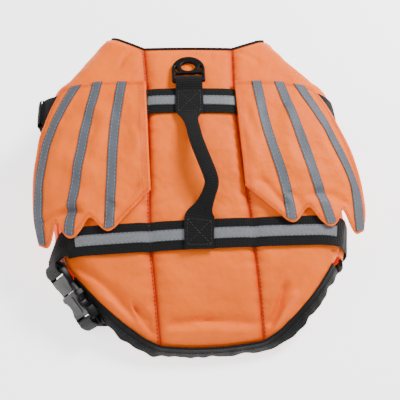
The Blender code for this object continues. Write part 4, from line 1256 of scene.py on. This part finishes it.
def bar_loop(name, end, other, face, node, lift=0.0):
    """The webbing that goes round the bar at one end of a buckle."""
    inward, across, outward = face_frame(end, other, face)
    rows = []
    for i, (x, z) in enumerate(BAR_LOOP):
        before, after = BAR_LOOP[max(i - 1, 0)], BAR_LOOP[min(i + 1, len(BAR_LOOP) - 1)]
        way = unit(inward * (after[0] - before[0]) + outward * (after[1] - before[1]))
        point = np.asarray(end, float) + inward * x + outward * z * (1 + lift)
        rows.append(station(point, across, np.cross(across, way), WEB_WIDTH, WEB_THICK))
    made = ribbon(name, finer(rows, 0.8), looks()["webbing"], 0.1)
    put(made, node, stands_for=False)
    return made


class LIFEJACKET_OT_belts(bpy.types.Operator):
    """Makes the two webbing belts, their reflective tapes and the stitching on them"""
    bl_idname = "life_jacket.belts"
    bl_label = "Belts and Tapes"

    def execute(self, context):
        pitch = settings().stitch / MM
        for name, stations, ends in (
                ("waist_belt", waist_stations(), (WAIST_TOP, WAIST_LOW, WAIST_FACE)),
                ("chest_belt", chest_stations(), (CHEST_TOP, CHEST_LOW, CHEST_FACE))):
            loops = [bar_loop(name + "_plug_loop", ends[0], ends[1], ends[2], name),
                     bar_loop(name + "_socket_loop", ends[1], ends[0], ends[2], name, 0.3)]
            rows = finer(stations, 3.0)
            made = ribbon(name + "_webbing", rows, looks()["webbing"], 0.06)
            put(made, name)
        rows = []
        for name, y, ends in (("waist_tape", 0.0, (-110.0, 118.0)),
                              ("chest_tape", CHEST_Y - CHEST_DOWN, (-42.0, 42.0))):
            stations = [belt_station(s, y, belt_rise(s, y) + WEB_THICK + 0.15,
                                     TAPE_WIDTH, TAPE_THICK)
                        for s in belt_girths(ends[0], ends[1], y)]
            stations = finer(stations, 3.0)
            made = ribbon(name + "_woven", stations, looks()["tape"], 0.05)
            put(made, name)
            rows += [on_ribbon(stations, share, 0.1) for share in (-0.42, 0.42)]
        made = stitches("tape_stitches", rows, looks()["grey_thread"], pitch, *FINE_STITCH)
        put(made, "waist_tape", stands_for=False)
        rows = [across_belt(side * seam(y), y, 11.5)
                for y in (0.0, CHEST_Y - CHEST_DOWN) for side in (-1, 1)]
        made = stitches("belt_stitches", rows, looks()["seam_thread"], pitch, *FINE_STITCH)
        put(made, "waist_belt", stands_for=False)
        return {"FINISHED"}


# ---------------------------------------------------------------- handle and D-ring
RING_X, RING_Y = -4.4, 146.5
BAR = 1.8
LOOP = 3.0             # inside radius of the webbing loop round the ring's bar
LOOP_WIDTH = 24.4
RING_WIDTH = 31.6
RING_THICK = 3.6
RING_TOP = 30.0
RING_TILT = math.radians(-5.0)
# The handle from its upper patch, bowed to the right and raised for the fingers.
#      y      x     rise  width thick
HANDLE = (
    (142.5, -4.4,  6.9, 24.6, 1.4),
    (139.0, -4.4,  5.0, 25.2, 1.4),
    (135.5, -4.5,  3.6, 25.6, 1.4),
    (125.0, -4.9,  3.5, 26.0, 1.4),
    (113.5, -5.2,  3.6, 25.0, 1.4),
    (108.0, -5.0,  5.0, 17.0, 2.2),
    (101.0, -4.2,  7.6, 13.0, 2.8),
    ( 92.0, -2.8, 10.2, 12.5, 2.8),
    ( 80.0, -0.9, 13.0, 12.5, 2.8),
    ( 68.0,  2.3, 14.6, 12.5, 2.8),
    ( 56.0,  6.2, 15.0, 12.5, 2.8),
    ( 46.0,  9.6, 14.2, 12.5, 2.8),
    ( 38.5, 10.8, 12.6, 12.5, 2.8),
    ( 29.0,  7.0,  9.2, 13.0, 2.8),
    ( 21.0,  2.6,  6.2, 17.0, 2.2),
    ( 14.5, -0.8,  4.2, 26.0, 1.4),
    (  0.0, -2.2,  4.1, 26.0, 1.4),
    (-13.5, -2.6,  4.2, 26.0, 1.4),
)


def channel_top(y):
    """Height of the middle channel's crest."""
    return float(skin(0.0, y, PUFF)[2])


def ring_axis():
    """The middle of the ring's bar, in the loop of the handle."""
    return np.array((RING_X, RING_Y, channel_top(RING_Y) + GAP + WEB_THICK + LOOP))


def handle_stations():
    """The handle's webbing, from under its loop round the ring's bar to its lower patch."""
    axis, radius = ring_axis(), LOOP + 0.5 * WEB_THICK
    path = [(np.array((RING_X, RING_Y - reach, axis[2] - radius)), LOOP_WIDTH, WEB_THICK)
            for reach in (4.2, 2.0)]
    for turn in range(-90, 91, 15):
        bend = math.radians(turn)
        path.append((axis + (0.0, radius * math.cos(bend), radius * math.sin(bend)),
                     LOOP_WIDTH, WEB_THICK))
    path += [(np.array((x, y, channel_top(y) + rise)), width, thick)
             for y, x, rise, width, thick in HANDLE]
    made = []
    for i, (point, width, thick) in enumerate(path):
        along = unit(path[min(i + 1, len(path) - 1)][0] - path[max(i - 1, 0)][0])
        across = np.array((along[1], -along[0], 0.0))
        across = unit(across) if np.linalg.norm(across) > 0.01 else np.array((-1.0, 0.0, 0.0))
        if across[0] > 0:
            across = -across
        made.append(station(point, across, np.cross(across, along), width, thick))
    return made


def arc(centre, radii, start, end, count):
    angles = np.radians(np.linspace(start, end, count + 1))
    return [(centre[0] + radii[0] * math.cos(angle), centre[1] + radii[1] * math.sin(angle))
            for angle in angles]


def rounded_box(x0, x1, y0, y1, radius, count=5):
    """Outline of a rounded rectangle, counterclockwise."""
    made = []
    for x, y, start in ((x1 - radius, y0 + radius, -90), (x1 - radius, y1 - radius, 0),
                        (x0 + radius, y1 - radius, 90), (x0 + radius, y0 + radius, 180)):
        made += arc((x, y), (radius, radius), start, start + 90, count)
    return made


def build_ring():
    """The moulded ring: an outline with the slot for its loop, its eye and two side holes."""
    half = RING_WIDTH / 2
    outline = arc((0.0, RING_TOP - 16.0), (half, 16.0), 0, 180, 40)
    outline += arc((-half + 2.0, -BAR + 2.0), (2.0, 2.0), 180, 270, 6)
    outline += arc((half - 2.0, -BAR + 2.0), (2.0, 2.0), 270, 360, 6)
    width = LOOP_WIDTH + 1.0
    slot = rounded_box(-width / 2, width / 2, BAR, 8.4, 1.2, 4)
    holes = [slot, arc((0.0, 17.4), (6.9, 6.0), 0, 350, 35)]
    for side in (-1, 1):
        holes.append([(side * 9.2, 11.4), (side * 11.0, 11.0), (side * 13.0, 11.4),
                      (side * 12.9, 14.5), (side * 12.4, 17.0), (side * 11.4, 17.9)])
    ring = cut_plate("d_ring_moulded", [outline] + holes, RING_THICK, 1.0, looks()["acetal"])
    weld(ring)
    ring.location = ring_axis() * MM
    ring.rotation_euler = (RING_TILT, 0.0, 0.0)
    put(ring, "d_ring", "ring")


def box_rows(rows, first, last, half):
    """The box and the cross that sew a patch of the handle down."""
    y = rows[:, 1]
    inside = [i for i in range(len(rows)) if last <= y[i] <= first and rows[i, 6:9][2] > 0.8]
    patch = rows[inside]
    share = np.linspace(-1, 1, len(patch))
    lift = 0.5 * patch[:, 10:11] + 0.1
    made = []
    for reach in (-1 + 0 * share, 1 + 0 * share, share, -share):
        made.append((patch[:, :3] + patch[:, 3:6] * (reach * half)[:, None] + patch[:, 6:9] * lift,
                     patch[:, 6:9]))
    over = np.linspace(-half, half, 12)[:, None]
    for end, end_lift in zip(patch[[0, -1]], lift[[0, -1]]):
        made.append((end[:3] + end[3:6] * over + end[6:9] * end_lift,
                     np.repeat(end[None, 6:9], len(over), 0)))
    return made


class LIFEJACKET_OT_handle(bpy.types.Operator):
    """Makes the lifting handle with its sewn patches and the moulded D-ring in its loop"""
    bl_idname = "life_jacket.handle"
    bl_label = "Handle and D-Ring"

    def execute(self, context):
        rows = finer(handle_stations(), 2.0)
        made = ribbon("handle_strap_webbing", rows, looks()["webbing"], 0.12)
        put(made, "handle_strap")
        sewn = box_rows(rows, 136.0, 113.5, 10.3) + box_rows(rows, 12.5, -11.5, 10.6)
        made = stitches("handle_stitches", sewn, looks()["black_thread"], BLACK_PITCH,
                        *HEAVY_STITCH)
        put(made, "handle_strap", stands_for=False)
        build_ring()
        return {"FINISHED"}


# ---------------------------------------------------------------- bindings
TAPE_GAP = 1.3 * GAP
NECK_TAPE = 3.4
ARMHOLE_TAPE = 2.2
FLAP_TAPE = 8.0
HEM_TAPE_THICK = 2.4
# How the hem's binding stands out and hangs down, by girth, and on its left side.
HEM_TAPE = (
    (  0.0,  2.5, 10.5,  2.5, 10.5),
    ( 44.0,  3.5, 10.0,  3.5, 10.0),
    ( 56.0,  6.5,  8.0,  6.5,  8.5),
    ( 76.0,  8.0,  6.0,  7.0,  7.5),
    ( 95.0,  6.5,  8.0,  5.0,  7.0),
    (113.0,  5.5, 10.0,  1.5,  5.5),
    (130.0,  5.0, 10.0,  0.3,  5.0),
)


def tape_along(name, node, centre, normal, width, thick, bulge):
    """Binding tape through a line of points; gives it back with its stations."""
    along = units(np.gradient(centre, axis=0))
    normal = units(normal - along * (normal * along).sum(1)[:, None])
    rows = np.column_stack([centre, np.cross(along, normal), normal, width, thick])
    made = ribbon(name, rows, looks()["binding"], bulge)
    put(made, node)
    return made, rows


def edge_tape(name, node, s, y, rise, side, reach, over):
    """Binding tape beyond a cloth edge that is drawn on the tube, and its stitch row."""
    step_s, step_y = np.gradient(s), np.gradient(y)
    length = np.hypot(step_s, step_y)
    width = reach - TAPE_GAP
    middle = TAPE_GAP + 0.5 * width
    place_s = side * (s - step_y / length * middle)
    place_y = y + step_s / length * middle
    centre = skin(place_s, place_y, -rise - 0.5 * WALL)
    run = distances(centre)
    wave = 1 + 0.05 * np.sin(run / 3.1) + 0.04 * np.sin(run / 7.7)
    made, rows = tape_along(name, node, centre, skin_normal(place_s, place_y), width * wave,
                            WALL + over + 0 * run, 0.25)
    length = run_length(centre)
    return on_ribbon(rows, 0.0, 0.3)


def build_neck_binding():
    """The narrow tape round the neck."""
    corner = SIDE_EDGE[-1][1] - 2.0
    s = np.linspace(-corner, corner, 110)
    y = neck_edge(s)
    length = 0.5 * (NECK_TAPE + GAP)
    centre = skin(s, y + length, -0.5 * WALL)
    made, rows = tape_along("neck_binding_tape", "neck_binding", centre,
                            skin_normal(s, y + length), NECK_TAPE - GAP + 0 * s,
                            WALL + 0.9 + 0 * s, 0.3)
    return on_ribbon(rows, 0.0, 0.35)


def build_hem_binding():
    """The wide tape round the hem, gathered where it turns the tail's corners."""
    part = np.linspace(0, FLAP_STEPS[0] / EDGE_STEPS * (1 - 0.5 / FLAP_STEPS[0]) - 0.02, 60)
    side_s, side_y = through(SIDE_EDGE, part)
    flat_s = np.linspace(0, seam(HEM_Y), 22)
    right_s = np.concatenate([flat_s, side_s])
    right_y = np.concatenate([hem_edge(flat_s), side_y])
    s = np.concatenate([-right_s[:0:-1], right_s])
    y = np.concatenate([right_y[:0:-1], right_y])
    middles = skin(s, y, -0.5 * WALL)
    run = distances(middles)
    fine = np.linspace(0, run[-1], int(run[-1] / 1.3))
    s = np.interp(fine, run, s)
    middles = at_run(fine, run, middles)
    kernel = np.ones(9) / 9
    padded = np.pad(middles, ((4, 4), (0, 0)), "edge")
    middles = np.stack([np.convolve(padded[:, k], kernel, "valid") for k in range(3)], 1)
    along = np.gradient(middles, axis=0)
    outward = units(np.stack([along[:, 1], -along[:, 0], 0 * s], 1))
    out, drop, left_out, left_drop = through(HEM_TAPE, np.abs(s))
    out, drop = np.where(s < 0, left_out, out), np.where(s < 0, left_drop, drop)
    reach = outward * out[:, None] - np.stack([0 * s, 0 * s, drop], 1)
    face = units(np.cross(reach, along))
    face *= np.where(face[:, 2:3] < 0, -1.0, 1.0)
    tilt = np.abs((face * outward).sum(1))
    clear = outward * (1.6 * GAP + 0.5 * HEM_TAPE_THICK * tilt + 0.4)[:, None]
    uneven = 0.55 + 0.45 * np.sin(fine / 17.0 + 1.0) * np.sin(fine / 41.0)
    draw = uneven * (0.7 * np.sin(2 * math.pi * fine / 12.5 + 2.2 * np.sin(fine / 19.0))
                     + 0.5 * np.sin(2 * math.pi * fine / 23.0 + 1.4))
    free = np.where(s < -70, 0.35, 0.55 + 0.45 * smooth_step((np.abs(s) - 40.0) / 20.0))
    outside, inside = [], []
    for share in np.linspace(-0.3, 1, 10):
        wave = face * (1.3 * draw * max(share, 0.0) ** 1.2 * free)[:, None]
        lip = 1 + (0.09 * np.sin(2 * math.pi * fine / 31.0 + 0.9)
                   + 0.06 * np.sin(2 * math.pi * fine / 15.0)) * share
        row = middles + clear + reach * (share * lip)[:, None] + wave
        swell = math.sin(math.pi * min(max(share, 0.0) * 1.2, 1.0))
        thick = 0.5 * HEM_TAPE_THICK * (0.75 + 0.45 * swell)
        outside.append(row + face * thick)
        inside.append(row - face * thick)
    outside, inside = np.stack(outside), np.stack(inside)
    cloth = np.stack(np.broadcast_arrays(fine[None, :], np.linspace(0, 13, 10)[:, None]), -1)
    made = shell("hem_binding_tape", outside, inside, looks()["binding"], cloth)
    put(made, "hem_binding")
    return outside[4] + face * 0.15, face


class LIFEJACKET_OT_bindings(bpy.types.Operator):
    """Makes the binding tapes round the neck, the hem, the leg openings and the flaps' ends"""
    bl_idname = "life_jacket.bindings"
    bl_label = "Bindings"

    def execute(self, context):
        rows = [build_neck_binding(), build_hem_binding()]
        for word, side in (("left", -1), ("right", 1)):
            last = FLAP_STEPS[1] / EDGE_STEPS
            part = np.linspace((EDGE_STEPS - 2) / EDGE_STEPS, last, 46)
            s, y = side_edge(side, part)
            corner, level = float(s[-1]) + GAP, float(y[-1])
            down = np.arange(corner + 3.0, belly_s(-FLAP_LAP, level), 3.0)
            s = np.concatenate([s, down])
            y = np.concatenate([y, level + 0 * down])
            rise = np.concatenate([0 * part, lap_rise(side, down, FLAP_LAP, level)])
            rows.append(edge_tape("armhole_binding_tape_" + word, "armhole_binding_" + word, s, y,
                                  rise, side, ARMHOLE_TAPE, 0.5))
            first, level = through(SIDE_EDGE, FLAP_STEPS[0] / EDGE_STEPS)
            end = belly_s(-FLAP_LAP, level) - FLAP_TAPE - 2.0
            s = np.arange(float(end), float(first) + 9.0, -3.0)
            y = float(level) + 0 * s
            rows.append(edge_tape("flap_binding_tape_" + word, "flap_binding_" + word, s, y,
                                  lap_rise(side, s, FLAP_LAP, y), side, FLAP_TAPE, 0.3))
        made = stitches("binding_stitches", rows, looks()["black_thread"], BLACK_PITCH,
                        *BINDING_STITCH)
        put(made, "neck_binding", stands_for=False)
        return {"FINISHED"}


# ---------------------------------------------------------------- buckles
BUCKLE_WIDTH = 33.0
BUCKLE_THICK = 9.0
PLUG_LENGTH = 23.0
PLUG_THICK = 6.0
SLOT = 4.0
BAR_WIDE = 2.4


def mirrored(half):
    """An outline from its lower half, which runs from left to right."""
    return half + [(x, -y) for x, y in reversed(half)]


def bar_slot(start):
    """The slot beside a buckle's bar, where the webbing goes through."""
    reach = WEB_WIDTH / 2 + 0.5
    return rounded_box(start, start + SLOT, -reach, reach, 1.2)


def build_buckle(prefix, top, low, face):
    """A fastened side-release buckle: the plug at its top end, the socket at its low end."""
    along, across, outward = face_frame(top, low, face)
    place = Matrix.Identity(4)
    for k, axis in enumerate((along, -across, outward)):
        for row in range(3):
            place[row][k] = axis[row]
    place.translation = Vector((np.add(top, low) / 2 * MM).tolist())
    half = float(np.linalg.norm(np.subtract(low, top))) / 2
    wide = BUCKLE_WIDTH / 2
    head = -half + 13.0
    # The plug: a ladder bar in its head, a neck, and two sprung arms.
    body = mirrored([(-half, -wide + 3.0), (-half + 1.2, -wide + 1.0),
                     (-half + 3.0, -wide + 0.5), (head, -wide + 0.5), (head + 3.0, -wide + 2.5),
                     (head + 10.0, -wide + 3.8)])
    pieces = [("plug_head", [body, bar_slot(-half + BAR_WIDE)], PLUG_THICK, 1.4, "plug")]
    for side in (-1, 1):
        arm = [(head + 4.0, side * (wide - 7.0)), (head + 4.0, side * (wide - 2.6)),
               (head + 9.0, side * (wide - 1.2)), (head + 15.0, side * (wide - 0.6)),
               (head + 19.0, side * (wide - 1.4)), (head + 22.0, side * (wide - 4.0)),
               (head + 21.0, side * (wide - 6.0)), (head + 14.0, side * (wide - 6.4))]
        if side < 0:
            arm.reverse()
        pieces.append(("plug_arm_%s" % ("a" if side < 0 else "b"), [arm], 4.2, 1.0, "plug"))
    # The socket: a domed sleeve with a window for each arm and a bar for the webbing.
    start = -half + PLUG_LENGTH + GAP
    sleeve = mirrored([(start, -wide + 2.0), (start + 1.5, -wide + 0.3), (start + 5.5, -wide),
                       (start + 6.5, -wide + 2.2), (start + 10.0, -wide + 4.6),
                       (start + 13.5, -wide + 4.6), (start + 17.0, -wide + 2.0),
                       (start + 19.0, -wide), (half - 5.0, -wide), (half - 1.2, -wide + 1.4),
                       (half, -wide + 4.0)])
    pieces.append(("socket_sleeve", [sleeve, bar_slot(half - BAR_WIDE - SLOT)], BUCKLE_THICK, 2.2,
                   "socket"))
    crest = rounded_box(start + 3.0, half - 9.0, -wide + 8.5, wide - 8.5, 3.0)
    pieces.append(("socket_crest", [crest], BUCKLE_THICK + 1.0, 0.9, "socket"))
    for word, outlines, thick, soft, part in pieces:
        made = cut_plate(prefix + "_" + word, outlines, thick, soft, looks()["acetal"])
        weld(made)
        made.matrix_world = place
        put(made, prefix + "_buckle_" + part)


class LIFEJACKET_OT_buckles(bpy.types.Operator):
    """Makes the two fastened side-release buckles"""
    bl_idname = "life_jacket.buckles"
    bl_label = "Buckles"

    def execute(self, context):
        build_buckle("waist", WAIST_TOP, WAIST_LOW, WAIST_FACE)
        build_buckle("chest", CHEST_TOP, CHEST_LOW, CHEST_FACE)
        return {"FINISHED"}


# ---------------------------------------------------------------- stage
VIEW_AZIMUTH = math.radians(3.0)
VIEW_HEIGHT = math.radians(62.0)
VIEW_DISTANCE = 0.560
VIEW_TARGET = Vector((0.0, 0.029, 0.072))
VIEW_LENS = 56.88      # millimetres, on a 36 mm sensor
FLOOR_REACH = 6.0
LAMP_TARGET = Vector((0.0, 0.03, 0.04))
LAMPS = (              # name, place, size in metres, watts
    ("key_lamp", (0.75, 0.55, 0.95), 0.45, 27.0),
    ("fill_lamp", (-0.8, 0.1, 1.1), 1.0, 8.0),
    ("tail_lamp", (0.0, -0.9, 1.1), 1.0, 4.5),
)


def aimed(thing, target):
    way = (target - thing.location).normalized()
    thing.rotation_euler = way.to_track_quat("-Z", "Y").to_euler()


def soft_lamp(name, place, size, power):
    lamp = bpy.data.lights.new(name, "AREA")
    lamp.shape = "DISK"
    lamp.size = size
    lamp.energy = power
    thing = bpy.data.objects.new(name, lamp)
    bpy.context.scene.collection.objects.link(thing)
    thing.location = place
    aimed(thing, LAMP_TARGET)


class LIFEJACKET_OT_stage(bpy.types.Operator):
    """Sets the pale floor, the soft lamps and the camera"""
    bl_idname = "life_jacket.stage"
    bl_label = "Floor, Lamps and Camera"

    def execute(self, context):
        mesh = bpy.data.meshes.new("floor")
        mesh.from_pydata([(x * FLOOR_REACH, y * FLOOR_REACH, 0)
                          for x, y in ((-1, -1), (1, -1), (1, 1), (-1, 1))], [], [(0, 1, 2, 3)])
        floor = link("floor", mesh, glowing("white_sweep", "#FFFFFF", 2.0))
        world = bpy.data.worlds.new("studio")
        world.use_nodes = True
        back = world.node_tree.nodes["Background"]
        back.inputs[0].default_value = linear("#FFFFFF")
        back.inputs[1].default_value = 0.4
        context.scene.world = world
        for lamp in LAMPS:
            soft_lamp(*lamp)
        lens = bpy.data.cameras.new("camera")
        lens.lens = VIEW_LENS
        lens.sensor_width = 36.0
        camera = bpy.data.objects.new("camera", lens)
        context.scene.collection.objects.link(camera)
        way = Vector((math.sin(VIEW_AZIMUTH) * math.cos(VIEW_HEIGHT),
                      math.cos(VIEW_AZIMUTH) * math.cos(VIEW_HEIGHT), -math.sin(VIEW_HEIGHT)))
        camera.location = VIEW_TARGET - VIEW_DISTANCE * way
        aimed(camera, VIEW_TARGET)
        context.scene.camera = camera
        return {"FINISHED"}


# ---------------------------------------------------------------- add-on
STEPS = (LIFEJACKET_OT_back, LIFEJACKET_OT_belly, LIFEJACKET_OT_wings, LIFEJACKET_OT_belts,
         LIFEJACKET_OT_handle, LIFEJACKET_OT_bindings, LIFEJACKET_OT_buckles, LIFEJACKET_OT_stage)


class LIFEJACKET_PT_panel(bpy.types.Panel):
    bl_label = "Life Jacket"
    bl_idname = "LIFEJACKET_PT_panel"
    bl_space_type = "VIEW_3D"
    bl_region_type = "UI"
    bl_category = "Life Jacket"

    def draw(self, context):
        column = self.layout.column()
        for field in ("cloth", "cloth_deep", "lining", "tape", "tape_dark", "cell", "stitch"):
            column.prop(settings(), field)
        for step in STEPS:
            column.operator(step.bl_idname)


CLASSES = (LIFEJACKET_Settings, *STEPS, LIFEJACKET_PT_panel)


def register():
    for made in CLASSES:
        bpy.utils.register_class(made)
    bpy.types.Scene.life_jacket = bpy.props.PointerProperty(type=LIFEJACKET_Settings)


def unregister():
    del bpy.types.Scene.life_jacket
    for made in reversed(CLASSES):
        bpy.utils.unregister_class(made)


def main():
    register()
    for step in STEPS:
        group, name = step.bl_idname.split(".")
        getattr(getattr(bpy.ops, group), name)()
    bpy.context.view_layer.update()


if __name__ == "__main__":
    main()
